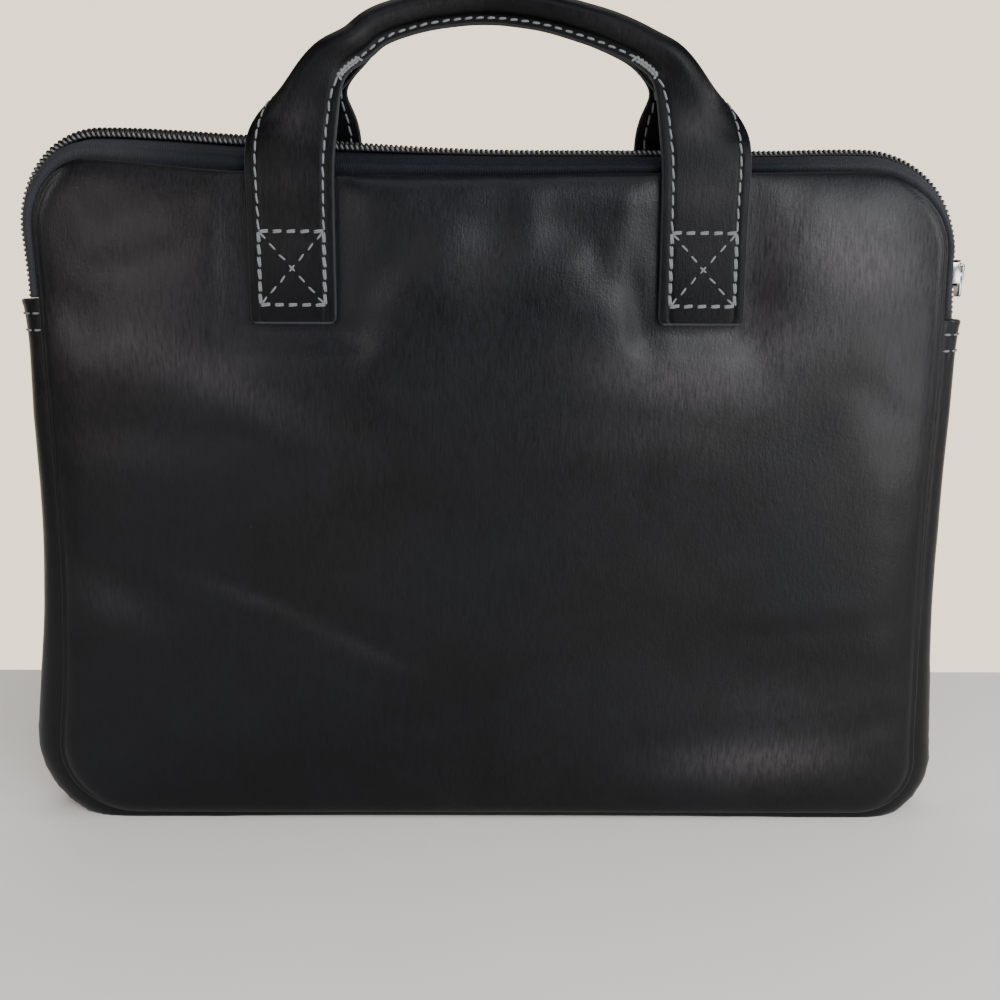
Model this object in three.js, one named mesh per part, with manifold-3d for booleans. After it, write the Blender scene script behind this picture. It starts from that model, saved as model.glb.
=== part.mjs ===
// A slim leather laptop case that stands on its bottom edge: two padded panels, a bulging gusset
// round the bottom and sides, a zip over the top, and two rolled handles sewn to the panels.
// Millimetres. +X is the viewer's right of the front panel, -Y the front, +Z up.
import * as THREE from 'three';
import { mergeVertices } from 'three/addons/utils/BufferGeometryUtils.js';
import Module from 'manifold-3d';

const wasm = await Module();
wasm.setup();

// Body of the case
const seamWidth = 358; // between the two side seams
const seamHeight = 265.4; // from the bottom seam to the top seam
const seamLift = 3; // height of the bottom seam over the surface that the case stands on
const seamDepth = 30; // between the front seam and the back seam
const caseDepth = 38; // over the faces of the two panels
const shoulder = 9; // width of the band in which a panel rounds over to its seam
const radiusTopLeft = 24; // corner radii of the seam, as seen from the front
const radiusTopRight = 30;
const radiusBottomRight = 24;
const radiusBottomLeft = 32;
const panelWall = 3; // leather, padding and lining together
const gussetWall = 2;
const crown = 10; // height of the arched gusset and zip over the seam, where a row says 1
const seamAllowance = 3; // edge of the gusset and of the tapes that is turned into the seam
const endRise = 2; // how far the gusset's folded ends stand proud of the zip
const endReach = 22; // length of gusset over which that rise runs out
const endDropLeft = 48.4; // from the top seam down to the gusset's folded end on each side
const endDropRight = 55.1;
const gap = 0.3; // clearance between pieces that touch

// Zip
const tapeWall = 1.2;
const tapeSlot = 1.2; // between the two tapes, under the coil
const coilWidth = 6;
const coilHeight = 2.2;
const sliderPark = 18.7; // from the gusset's right end up to the parked slider's middle
const sliderLength = 10.4;
const sliderWall = 1.2;
const bridgeWidth = 2.4; // the loop on the slider that holds the pull
const bridgeLength = 7.6;
const bridgeWall = 0.9;
const pullBar = 1.1; // thickness of the pull and of the bar that turns under the loop
const pullClear = 0.45; // room round that bar
const pullLength = 9.6;
const pullWidth = 5.6;

// Handles
const strapWidth = 32.4;
const strapWall = 2.6; // two layers of leather
const rollWall = 1.8; // one layer, where the strap is rolled into a tube
const rollWidth = 33.5; // width of that layer, flat
const tubeRadius = 4.9; // of the rolled tube, to the middle of the leather
const pressWidth = 39; // width where the leg is folded double, flat
const pressRadius = 2.7; // of that fold
const flange = 2.2; // flat stitched edge below the tube
const handleShift = 1.5; // how far the handles sit right of the case's middle
const tabDrop = 57.4; // from the top seam down to the lower end of the sewn tabs
const handleRise = 114.9; // from there to the lower edge of the front handle's arch
const frontSpan = 127.4; // between the two legs' inner edges
const backSpan = 120;
const backLift = 3.1; // how much higher the back handle's arch stands
const archSway = -5; // how far the arches lean to the left of their legs
const swayFrom = 0.85; // shares of the rise between which they lean
const swayTo = 0.94;
const handleGap = 2.6; // between the two tubes, which lean towards each other

// How far the side seams stand out from straight. height is a share of the seam height,
// left and right are shares of half the seam width.
const SIDE_FORM = [
  { height: 0.0, left: 0.034, right: 0.01 },
  { height: 0.07, left: 0.031, right: 0.009 },
  { height: 0.13, left: 0.026, right: 0.005 },
  { height: 0.2, left: 0.014, right: 0.003 },
  { height: 0.27, left: 0.006, right: 0.0 },
  { height: 0.4, left: -0.003, right: -0.003 },
  { height: 0.55, left: -0.003, right: -0.002 },
  { height: 0.68, left: 0.001, right: 0.002 },
  { height: 0.77, left: 0.003, right: 0.002 },
  { height: 0.85, left: 0.005, right: -0.001 },
  { height: 1.0, left: 0.012, right: 0.0 },
];

// How far the top seam is lifted from level. across is a share of half the seam width,
// lift a share of the seam height.
const TOP_FORM = [
  { across: -1.0, lift: 0.024 },
  { across: -0.82, lift: 0.019 },
  { across: -0.57, lift: 0.005 },
  { across: -0.28, lift: 0.0 },
  { across: 0.0, lift: 0.0 },
  { across: 0.25, lift: 0.003 },
  { across: 0.56, lift: 0.005 },
  { across: 0.8, lift: 0.007 },
  { across: 0.93, lift: 0.001 },
  { across: 1.0, lift: 0.0 },
];

// Height of the arched gusset and zip over the seam, as a share of crown. turn is the direction
// from the middle of the panel in degrees, 0 to the right and 90 up, with the corners at 45.
const CROWN_FORM = [
  { turn: 0, rise: 0.9 },
  { turn: 20, rise: 0.94 },
  { turn: 33, rise: 0.88 },
  { turn: 40, rise: 0.84 },
  { turn: 47, rise: 1.0 },
  { turn: 58, rise: 0.97 },
  { turn: 75, rise: 1.03 },
  { turn: 90, rise: 1.12 },
  { turn: 108, rise: 1.3 },
  { turn: 122, rise: 1.4 },
  { turn: 135, rise: 1.12 },
  { turn: 147, rise: 0.94 },
  { turn: 165, rise: 1.06 },
  { turn: 180, rise: 1.07 },
  { turn: 198, rise: 1.21 },
  { turn: 212, rise: 1.38 },
  { turn: 222, rise: 1.3 },
  { turn: 235, rise: 0.9 },
  { turn: 245, rise: 0.6 },
  { turn: 295, rise: 0.6 },
  { turn: 305, rise: 0.8 },
  { turn: 315, rise: 1.1 },
  { turn: 322, rise: 1.08 },
  { turn: 340, rise: 0.88 },
];

// Dents of each panel. across, length and width are shares of half the seam width, height is a
// share of the seam height, tilt is in degrees, and depth is a share of the panel's rounding.
const FRONT_DENTS = [
  { across: -0.02, height: 0.89, length: 0.16, width: 0.09, tilt: 80, depth: 0.24 },
  { across: 0.2, height: 0.93, length: 0.2, width: 0.1, tilt: 20, depth: 0.2 },
  { across: 0.56, height: 0.86, length: 0.26, width: 0.13, tilt: 70, depth: 0.3 },
  { across: 0.7, height: 0.66, length: 0.3, width: 0.14, tilt: 15, depth: 0.26 },
  { across: -0.72, height: 0.62, length: 0.34, width: 0.14, tilt: -8, depth: 0.26 },
  { across: -0.46, height: 0.35, length: 0.26, width: 0.1, tilt: -28, depth: 0.32 },
  { across: 0.0, height: 0.4, length: 0.6, width: 0.36, tilt: 0, depth: 0.3 },
  { across: 0.62, height: 0.24, length: 0.34, width: 0.16, tilt: -6, depth: 0.28 },
];
const BACK_DENTS = [
  { across: 0.3, height: 0.45, length: 0.6, width: 0.36, tilt: 0, depth: 0.3 },
  { across: -0.5, height: 0.62, length: 0.36, width: 0.2, tilt: 14, depth: 0.26 },
  { across: -0.3, height: 0.24, length: 0.4, width: 0.18, tilt: -10, depth: 0.24 },
];

// Half of a handle, from the foot of its leg to the top of its arch, along the strap's inner
// edge. across is a share of half the span, up a share of the rise, lean a share of the way from
// the leg's plane to the arch's, fold a share of the way from flat to folded double, and round
// from there to a round tube.
const FRONT_HANDLE = [
  { across: 1.0, up: 0.0, lean: 0.0, fold: 0.0, round: 0.0 },
  { across: 1.0, up: 0.34, lean: 0.0, fold: 0.0, round: 0.0 },
  { across: 0.997, up: 0.516, lean: 0.02, fold: 0.0, round: 0.0 },
  { across: 0.985, up: 0.6, lean: 0.08, fold: 0.04, round: 0.0 },
  { across: 0.97, up: 0.69, lean: 0.2, fold: 0.17, round: 0.0 },
  { across: 0.958, up: 0.755, lean: 0.31, fold: 0.29, round: 0.0 },
  { across: 0.944, up: 0.79, lean: 0.38, fold: 0.62, round: 0.0 },
  { across: 0.92, up: 0.82, lean: 0.43, fold: 0.93, round: 0.35 },
  { across: 0.845, up: 0.858, lean: 0.53, fold: 1.0, round: 0.8 },
  { across: 0.73, up: 0.896, lean: 0.66, fold: 1.0, round: 0.93 },
  { across: 0.606, up: 0.932, lean: 0.75, fold: 1.0, round: 0.98 },
  { across: 0.362, up: 0.976, lean: 0.9, fold: 1.0, round: 1.0 },
  { across: 0.12, up: 0.997, lean: 1.0, fold: 1.0, round: 1.0 },
  { across: 0.0, up: 1.0, lean: 1.0, fold: 1.0, round: 1.0 },
];
const BACK_HANDLE = [
  { across: 1.0, up: 0.0, lean: 0.0, fold: 0.0, round: 0.0 },
  { across: 1.0, up: 0.33, lean: 0.0, fold: 0.0, round: 0.0 },
  { across: 0.97, up: 0.5, lean: 0.02, fold: 0.0, round: 0.0 },
  { across: 0.952, up: 0.604, lean: 0.08, fold: 0.03, round: 0.0 },
  { across: 0.975, up: 0.69, lean: 0.2, fold: 0.17, round: 0.0 },
  { across: 1.03, up: 0.755, lean: 0.33, fold: 0.6, round: 0.0 },
  { across: 1.045, up: 0.785, lean: 0.4, fold: 1.0, round: 0.1 },
  { across: 1.0, up: 0.826, lean: 0.52, fold: 1.0, round: 0.45 },
  { across: 0.87, up: 0.886, lean: 0.66, fold: 1.0, round: 0.8 },
  { across: 0.68, up: 0.94, lean: 0.75, fold: 1.0, round: 0.95 },
  { across: 0.4, up: 0.98, lean: 0.9, fold: 1.0, round: 1.0 },
  { across: 0.13, up: 0.998, lean: 1.0, fold: 1.0, round: 1.0 },
  { across: 0.0, up: 1.0, lean: 1.0, fold: 1.0, round: 1.0 },
];

// Places across the gusset and across one tape, as shares of half the seam depth
const GUSSET_ACROSS = [-1, -0.96, -0.88, -0.6, -0.2, 0.2, 0.6, 0.88, 0.96, 1];
const TAPE_ACROSS = [-1, -0.96, -0.84, -0.6, -0.32];
const gussetRoundness = 2.2; // exponents of the arch's curve, 2 being an ellipse
const tapeRoundness = 2;

// Rings of a panel: distances from the seam as shares of the shoulder, then shares of the way
// from the middle to the shoulder's inner edge
const SHOULDER_RINGS = [0, 0.08, 0.26, 0.55, 1];
const FACE_RINGS = [0.84, 0.64, 0.42, 0.2];
const cornerSteps = 7;
const sideSteps = 6;
const topSteps = 10;
const strapSteps = 11; // across the strap
const handleSteps = 21; // along half of a handle

const halfWidth = seamWidth / 2;
const halfHeight = seamHeight / 2;
const halfSeam = seamDepth / 2;
const halfCase = caseDepth / 2;
const seamTop = seamLift + seamHeight;
const endHeightLeft = seamTop - endDropLeft;
const endHeightRight = seamTop - endDropRight;
const handleFoot = seamTop - tabDrop;
const coilStack = coilHeight + gap; // the coil lies on the tapes
const lift = 6; // power with which the top's lift fades towards mid height

const mix = (from, to, share) => from + (to - from) * share;

// Smooth curve through one column of a table, level outside its ends or closed over a period
function curve(rows, key, column, period = 0) {
  const knots = rows.map((row) => [row[key], row[column]]);
  if (period) {
    const [first, second] = knots;
    const last = knots[knots.length - 1];
    knots.unshift([last[0] - period, last[1]]);
    knots.push([first[0] + period, first[1]], [second[0] + period, second[1]]);
  }
  const slope = (i) => {
    const before = knots[Math.max(i - 1, 0)];
    const after = knots[Math.min(i + 1, knots.length - 1)];
    return (after[1] - before[1]) / (after[0] - before[0]);
  };
  return (place) => {
    const x = period ? ((place % period) + period) % period : place;
    if (x <= knots[0][0]) return knots[0][1];
    if (x >= knots[knots.length - 1][0]) return knots[knots.length - 1][1];
    const i = knots.findIndex((knot) => knot[0] > x) - 1;
    const width = knots[i + 1][0] - knots[i][0];
    const t = (x - knots[i][0]) / width;
    const rise = (1 - t) * (1 - t) * (1 + 2 * t) * knots[i][1] + t * t * (3 - 2 * t) * knots[i + 1][1];
    const bend = t * (1 - t) * (1 - t) * slope(i) - t * t * (1 - t) * slope(i + 1);
    return rise + bend * width;
  };
}

const sideLeft = curve(SIDE_FORM, 'height', 'left');
const sideRight = curve(SIDE_FORM, 'height', 'right');
const topLift = curve(TOP_FORM, 'across', 'lift');
const crownRise = curve(CROWN_FORM, 'turn', 'rise', 360);

// The seam as straight runs and corner arcs, from the bottom's middle round by the right side.
// Each run gives its length, its number of steps and its point at a distance along it.
function seamRuns() {
  const [tl, tr, br, bl] = [radiusTopLeft, radiusTopRight, radiusBottomRight, radiusBottomLeft];
  const straight = (x, z, dx, dz, length, steps) => ({
    length, steps, point: (s) => [x + dx * s, z + dz * s],
  });
  const corner = (x, z, radius, from) => ({
    length: (radius * Math.PI) / 2,
    steps: cornerSteps,
    point: (s) => [
      x + radius * Math.cos(from + s / radius),
      z + radius * Math.sin(from + s / radius),
    ],
  });
  const quarter = Math.PI / 2;
  return [
    straight(0, seamLift, 1, 0, halfWidth - br, sideSteps / 2),
    corner(halfWidth - br, seamLift + br, br, -quarter),
    straight(halfWidth, seamLift + br, 0, 1, seamHeight - br - tr, sideSteps),
    corner(halfWidth - tr, seamTop - tr, tr, 0),
    straight(halfWidth - tr, seamTop, -1, 0, seamWidth - tr - tl, topSteps),
    corner(-halfWidth + tl, seamTop - tl, tl, quarter),
    straight(-halfWidth, seamTop - tl, 0, -1, seamHeight - tl - bl, sideSteps),
    corner(-halfWidth + bl, seamLift + bl, bl, 2 * quarter),
    straight(-halfWidth + bl, seamLift, 1, 0, halfWidth - bl, sideSteps / 2),
  ];
}

const runs = seamRuns();
const seamLength = runs.reduce((sum, run) => sum + run.length, 0);
const distanceAtRight = (z) => runs[0].length + runs[1].length + (z - seamLift - radiusBottomRight);
const distanceAtLeft = (z) =>
  seamLength - runs[8].length - runs[7].length - (z - seamLift - radiusBottomLeft);

// Point of the seam at a distance along it, with the case's own unevenness
function seamPoint(distance) {
  let rest = ((distance % seamLength) + seamLength) % seamLength;
  let i = 0;
  while (i < runs.length - 1 && rest > runs[i].length) {
    rest -= runs[i].length;
    i += 1;
  }
  const [x, z] = runs[i].point(rest);
  const height = (z - seamLift) / seamHeight;
  const across = x / halfWidth;
  const spread = across < 0 ? sideLeft(height) : sideRight(height);
  const upper = Math.max(0, 2 * height - 1) ** lift;
  return new THREE.Vector2(x * (1 + spread), z + upper * topLift(across) * seamHeight);
}

// A place on the seam: its point, the direction out of the case, and the arch's height there
function station(distance) {
  const point = seamPoint(distance);
  const along = seamPoint(distance + 0.5).sub(seamPoint(distance - 0.5)).normalize();
  const turn = Math.atan2((point.y - seamLift - halfHeight) / halfHeight, point.x / halfWidth);
  return {
    distance,
    point,
    out: new THREE.Vector2(along.y, -along.x),
    rise: crown * crownRise((turn * 180) / Math.PI),
  };
}

// Stations from one distance to another, at the steps of the runs
function stationsBetween(from, to) {
  const distances = [from];
  for (let lap = 0, start = 0; lap < 2; lap += 1) {
    for (const run of runs) {
      for (let i = 0; i < run.steps; i += 1) {
        const here = start + (run.length * i) / run.steps;
        if (here > from + 2 && here < to - 2) distances.push(here);
      }
      start += run.length;
    }
  }
  return [...distances, to].map(station);
}

// Point at a height over the seam and a depth from the case's middle plane
const lifted = (place, over, y) =>
  new THREE.Vector3(place.point.x + place.out.x * over, y, place.point.y + place.out.y * over);

// A closed body from its points and triangles, turned to face outwards
function body(points, triangles) {
  const cross = new THREE.Vector3();
  const volume = triangles.reduce(
    (sum, [a, b, c]) => sum + points[a].dot(cross.crossVectors(points[b], points[c])), 0);
  const faces = triangles.map(([a, b, c]) => (volume > 0 ? [a, b, c] : [a, c, b]));
  const geometry = new THREE.BufferGeometry();
  geometry.setFromPoints(points);
  geometry.setIndex(faces.flat());
  geometry.computeVertexNormals();
  return geometry;
}

// A wall that runs through sections, each with as many outer as inner points
function wall(sections) {
  const count = sections[0].outer.length;
  const points = sections.flatMap((section) => [...section.outer, ...section.inner]);
  const outer = (i, j) => i * 2 * count + j;
  const inner = (i, j) => outer(i, j) + count;
  const triangles = [];
  const quad = (a, b, c, d) => triangles.push([a, b, c], [a, c, d]);
  const last = sections.length - 1;
  for (let i = 0; i < last; i += 1) {
    for (let j = 0; j < count - 1; j += 1) {
      quad(outer(i, j), outer(i + 1, j), outer(i + 1, j + 1), outer(i, j + 1));
      quad(inner(i, j), inner(i, j + 1), inner(i + 1, j + 1), inner(i + 1, j));
    }
    quad(outer(i, 0), inner(i, 0), inner(i + 1, 0), outer(i + 1, 0));
    const end = count - 1;
    quad(outer(i, end), outer(i + 1, end), inner(i + 1, end), inner(i, end));
  }
  for (let j = 0; j < count - 1; j += 1) {
    quad(outer(0, j), outer(0, j + 1), inner(0, j + 1), inner(0, j));
    quad(outer(last, j), inner(last, j), inner(last, j + 1), outer(last, j + 1));
  }
  return body(points, triangles);
}

// Depth of the dents at a place on a panel
function dentDepth(dents, x, z) {
  return dents.reduce((sum, dent) => {
    const tilt = (dent.tilt * Math.PI) / 180;
    const dx = x / halfWidth - dent.across;
    const dz = (z - seamLift - dent.height * seamHeight) / halfWidth;
    const along = (dx * Math.cos(tilt) + dz * Math.sin(tilt)) / dent.length;
    const beside = (dz * Math.cos(tilt) - dx * Math.sin(tilt)) / dent.width;
    const full = dent.depth * (halfCase - halfSeam);
    return sum + full * Math.exp(-2 * (along * along + beside * beside));
  }, 0);
}

// A padded panel, a shallow dish whose rim is the seam. side is -1 for the front, 1 for the back.
function panel(dents, side) {
  const places = stationsBetween(0, seamLength).slice(0, -1);
  const middle = new THREE.Vector2(0, seamLift + halfHeight);
  const rim = halfSeam + gap / 2;
  const rounding = (share) => Math.sqrt(1 - (1 - share) ** 2);
  const ring = (inset, within, depth) => places.map((place) => {
    const edge = place.point.clone().addScaledVector(place.out, -inset);
    const at = middle.clone().lerp(edge, within);
    return [at, depth];
  });
  const faceOuter = halfCase;
  const faceInner = halfCase - panelWall;
  const outer = [
    ...SHOULDER_RINGS.map((share) =>
      ring(share * shoulder, 1, mix(rim, faceOuter, rounding(share)))),
    ...FACE_RINGS.map((share) => ring(shoulder, share, faceOuter)),
  ];
  const inner = [
    ...SHOULDER_RINGS.filter((share) => share !== SHOULDER_RINGS[1]).map((share) =>
      ring(mix(panelWall, shoulder, share), 1, mix(rim, faceInner, rounding(share)))),
    ...FACE_RINGS.map((share) => ring(shoulder, share, faceInner)),
  ];
  const points = [];
  const add = ([at, depth], fade) => {
    const dent = fade * dentDepth(dents, at.x, at.y);
    points.push(new THREE.Vector3(at.x, side * (depth - dent), at.y));
  };
  const triangles = [];
  const count = places.length;
  const layer = (rings) => {
    const start = points.length;
    rings.forEach((row, i) => row.forEach((item) => add(item, i < SHOULDER_RINGS.length - 1 ? 0 : 1)));
    add([middle, rings[rings.length - 1][0][1]], 1);
    for (let i = 0; i < rings.length - 1; i += 1) {
      for (let j = 0; j < count; j += 1) {
        const k = (j + 1) % count;
        const [a, b] = [start + i * count + j, start + i * count + k];
        triangles.push([a, b, b + count], [a, b + count, a + count]);
      }
    }
    const last = start + (rings.length - 1) * count;
    for (let j = 0; j < count; j += 1) {
      triangles.push([last + j, last + ((j + 1) % count), start + rings.length * count]);
    }
    return start;
  };
  const outerStart = layer(outer);
  const before = triangles.length;
  const innerStart = layer(inner);
  for (let i = before; i < triangles.length; i += 1) {
    triangles[i] = [triangles[i][0], triangles[i][2], triangles[i][1]];
  }
  for (let j = 0; j < count; j += 1) {
    const k = (j + 1) % count;
    triangles.push([outerStart + j, innerStart + j, innerStart + k]);
    triangles.push([outerStart + j, innerStart + k, outerStart + k]);
  }
  return body(points, triangles);
}

const arch = (share, roundness) => (1 - Math.abs(share) ** roundness) ** (1 / roundness);

// The leather strip round the bottom and sides, flat where it rests, with folded ends
function gusset() {
  const from = distanceAtLeft(endHeightLeft);
  const to = seamLength + distanceAtRight(endHeightRight);
  const half = halfSeam - gap / 2;
  const places = stationsBetween(from, to);
  const nearEnd = [0.35, 0.7, 1].map((share) => share * endReach);
  const all = [
    places[0],
    ...nearEnd.map((reach) => station(from + reach)),
    ...places.filter((place) => place.distance > from + endReach + 2 && place.distance < to - endReach - 2),
    ...nearEnd.map((reach) => station(to - reach)).reverse(),
    places[places.length - 1],
  ];
  return wall(all.map((place) => {
    const reach = Math.min(place.distance - from, to - place.distance) / endReach;
    const rise = place.rise + endRise * Math.max(0, 1 - reach) ** 2;
    const resting = (point, floor) => {
      point.z = Math.max(point.z, floor);
      return point;
    };
    const layer = (height, depth, floor) => [
      lifted(place, -seamAllowance, -depth),
      ...GUSSET_ACROSS.map((share) => resting(
        lifted(place, height * arch(share, gussetRoundness), share * depth), floor)),
      lifted(place, -seamAllowance, depth),
    ];
    return {
      outer: layer(rise, half, 0),
      inner: layer(rise - gussetWall, half - gussetWall, gussetWall),
    };
  }));
}

const zipFrom = distanceAtRight(endHeightRight + gap);
const zipTo = distanceAtLeft(endHeightLeft + gap);

// One arched tape, from the seam to beneath the coil
function zipTape(side) {
  const half = halfSeam - gap / 2;
  const edge = tapeSlot / 2;
  return wall(stationsBetween(zipFrom, zipTo).map((place) => {
    const layer = (height, depth) => [
      lifted(place, -seamAllowance, side * depth),
      ...TAPE_ACROSS.map((share) =>
        lifted(place, height * arch(share, tapeRoundness), -side * share * depth)),
      lifted(place, height * arch(edge / depth, tapeRoundness), side * edge),
    ];
    const height = place.rise - coilStack;
    return { outer: layer(height, half), inner: layer(height - tapeWall, half - tapeWall) };
  }));
}

// The closed coil along the top of the two tapes
function zipCoil() {
  const half = coilWidth / 2;
  const top = [[-1, 0.36], [-0.74, 0.86], [-0.28, 1], [0.28, 1], [0.74, 0.86], [1, 0.36]];
  const foot = [-0.9, -0.6, -0.28, 0.28, 0.6, 0.9];
  return wall(stationsBetween(zipFrom, zipTo).map((place) => {
    const base = place.rise - coilHeight;
    return {
      outer: top.map(([across, up]) => lifted(place, base + up * coilHeight, across * half)),
      inner: foot.map((across) => lifted(place, base, across * half)),
    };
  }));
}

// Solids for cutting and joining, and back
function toManifold(geometry) {
  const bare = geometry.clone();
  bare.deleteAttribute('normal');
  bare.deleteAttribute('uv');
  const merged = mergeVertices(bare, 1e-5);
  return new wasm.Manifold(new wasm.Mesh({
    numProp: 3,
    vertProperties: new Float32Array(merged.attributes.position.array),
    triVerts: new Uint32Array(merged.index.array),
  }));
}

function fromManifold(manifold) {
  const mesh = manifold.getMesh();
  const geometry = new THREE.BufferGeometry();
  geometry.setAttribute('position', new THREE.BufferAttribute(mesh.vertProperties, 3));
  geometry.setIndex(new THREE.BufferAttribute(mesh.triVerts, 1));
  geometry.computeVertexNormals();
  return geometry;
}

// Outline with rounded corners in a plane, widening from one width to another
function taperedOutline(foot, head, bottom, top, radius) {
  const shape = new THREE.Shape();
  shape.moveTo(-foot / 2 + radius, bottom);
  shape.lineTo(foot / 2 - radius, bottom);
  shape.quadraticCurveTo(foot / 2, bottom, foot / 2, bottom + radius);
  shape.lineTo(head / 2, top - radius);
  shape.quadraticCurveTo(head / 2, top, head / 2 - radius, top);
  shape.lineTo(-head / 2 + radius, top);
  shape.quadraticCurveTo(-head / 2, top, -head / 2, top - radius);
  shape.lineTo(-foot / 2, bottom + radius);
  shape.quadraticCurveTo(-foot / 2, bottom, -foot / 2 + radius, bottom);
  return shape;
}

// An outline of the YZ plane, thickened along X from one value to another
function plate(shape, from, to, curveSegments = 3) {
  const geometry = new THREE.ExtrudeGeometry(shape, {
    depth: to - from, bevelEnabled: false, curveSegments,
  });
  geometry.rotateX(Math.PI / 2);
  geometry.rotateZ(Math.PI / 2);
  geometry.translate(from, 0, 0);
  return geometry;
}

const pivotClear = pullBar / 2 + pullClear;
const sliderTop = gap + sliderWall; // over the coil
const pivotOver = sliderTop + pivotClear; // the pull's turning axis over the coil
const ridge = (distance) => {
  const place = station(distance);
  return lifted(place, place.rise, 0);
};
const sliderDistance = distanceAtRight(endHeightRight + sliderPark);
const sliderAlong = ridge(sliderDistance + sliderLength / 2)
  .sub(ridge(sliderDistance - sliderLength / 2)).normalize();
const sliderOut = new THREE.Vector3(sliderAlong.z, 0, -sliderAlong.x);
const sliderTilt = Math.atan2(-sliderOut.z, sliderOut.x);

// The slider, with the coil's top as its zero: a plate, two side walls and the pull's loop
function zipSlider() {
  const width = coilWidth + 2 * (gap + sliderWall);
  const cover = taperedOutline(width, width, -sliderLength / 2, sliderLength / 2, sliderWall);
  let slider = toManifold(plate(cover, gap, sliderTop));
  for (const side of [-1, 1]) {
    const cheek = new THREE.BoxGeometry(coilHeight + gap + sliderWall / 2, sliderWall, sliderLength * 0.8);
    const y = side * (coilWidth / 2 + gap + sliderWall / 2);
    cheek.translate(gap + sliderWall / 2 - (coilHeight + gap + sliderWall / 2) / 2, y, 0);
    slider = slider.add(toManifold(cheek));
  }
  const loopTop = pivotOver + pivotClear + bridgeWall;
  const loop = new THREE.Shape();
  loop.moveTo(sliderTop - sliderWall / 2, -bridgeLength / 2);
  loop.lineTo(loopTop - bridgeWall, -bridgeLength / 2);
  loop.quadraticCurveTo(loopTop, -bridgeLength / 2, loopTop, -bridgeLength / 2 + bridgeWall);
  loop.lineTo(loopTop, bridgeLength / 2 - bridgeWall);
  loop.quadraticCurveTo(loopTop, bridgeLength / 2, loopTop - bridgeWall, bridgeLength / 2);
  loop.lineTo(sliderTop - sliderWall / 2, bridgeLength / 2);
  const inside = new THREE.Path();
  const reach = bridgeLength / 2 - bridgeWall;
  inside.moveTo(sliderTop, -reach);
  inside.lineTo(sliderTop, reach);
  inside.lineTo(loopTop - bridgeWall, reach);
  inside.lineTo(loopTop - bridgeWall, -reach);
  loop.holes.push(inside);
  const arched = new THREE.ExtrudeGeometry(loop, {
    depth: bridgeWidth, bevelEnabled: false, curveSegments: 3,
  });
  arched.rotateX(Math.PI / 2);
  arched.translate(0, bridgeWidth / 2, 0);
  return fromManifold(slider.add(toManifold(arched)));
}

// The pull, with its turning axis as its zero, hanging down: an eye and a tab
function zipPull() {
  const eyeHalf = bridgeWidth / 2 + pullClear;
  const eyeWidth = 2 * (eyeHalf + pullBar);
  const drop = bridgeLength / 2 + pullClear;
  const outline = taperedOutline(pullWidth, eyeWidth, -pullLength, pullBar / 2, pullBar * 0.8);
  const eye = new THREE.Path();
  eye.moveTo(-eyeHalf, -pullBar / 2);
  eye.lineTo(-eyeHalf, -drop);
  eye.lineTo(eyeHalf, -drop);
  eye.lineTo(eyeHalf, -pullBar / 2);
  outline.holes.push(eye);
  return fromManifold(toManifold(plate(outline, -pullBar / 2, pullBar / 2)));
}

// The tilt of the strap's two layers at which their edges just meet, for a fold of a given width
// and radius, and the distance at which the fold starts
function closingTilt(width, radius) {
  const side = (tilt) => width / 2 - flange - radius * (Math.PI / 2 + tilt);
  const between = (tilt) => 2 * radius * Math.cos(tilt) - 2 * side(tilt) * Math.sin(tilt);
  let [low, high] = [0, Math.PI / 3];
  for (let i = 0; i < 40; i += 1) {
    const tilt = (low + high) / 2;
    if (between(tilt) > rollWall + gap) low = tilt;
    else high = tilt;
  }
  return { tilt: low, start: flange + side(low) };
}

// Section of the strap: pairs of distances, out from its inner edge and back from its front face.
// fold is the share of the way from flat to folded double, round from there to a round tube.
function strapSection(fold, round) {
  const closedWidth = mix(pressWidth, rollWidth, round);
  const radius = mix(pressRadius, tubeRadius, round);
  const closed = closingTilt(closedWidth, radius);
  const tilt = closed.tilt * fold;
  const width = mix(strapWidth, closedWidth, THREE.MathUtils.smoothstep(fold, 0.1, 1));
  const thick = mix(strapWall, rollWall, fold);
  const heading = (distance) => {
    if (distance < flange) return 0;
    const turned = -tilt + (Math.max(0, distance - closed.start) * fold) / radius;
    return distance > width - flange && fold === 1 ? Math.PI : Math.min(turned, Math.PI + tilt);
  };
  const substeps = 8;
  const step = width / (strapSteps * substeps);
  const section = { outer: [], inner: [] };
  let [w, d] = [0, 0];
  for (let i = 0; i <= strapSteps; i += 1) {
    const here = heading((i / strapSteps) * width);
    const normal = [-Math.sin(here) * (thick / 2), Math.cos(here) * (thick / 2)];
    section.outer.push([w - normal[0], d - normal[1]]);
    section.inner.push([w + normal[0], d + normal[1]]);
    for (let k = 0; k < substeps; k += 1) {
      const along = heading((i * substeps + k + 0.5) * step);
      w += Math.cos(along) * step;
      d += Math.sin(along) * step;
    }
  }
  return section;
}

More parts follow.
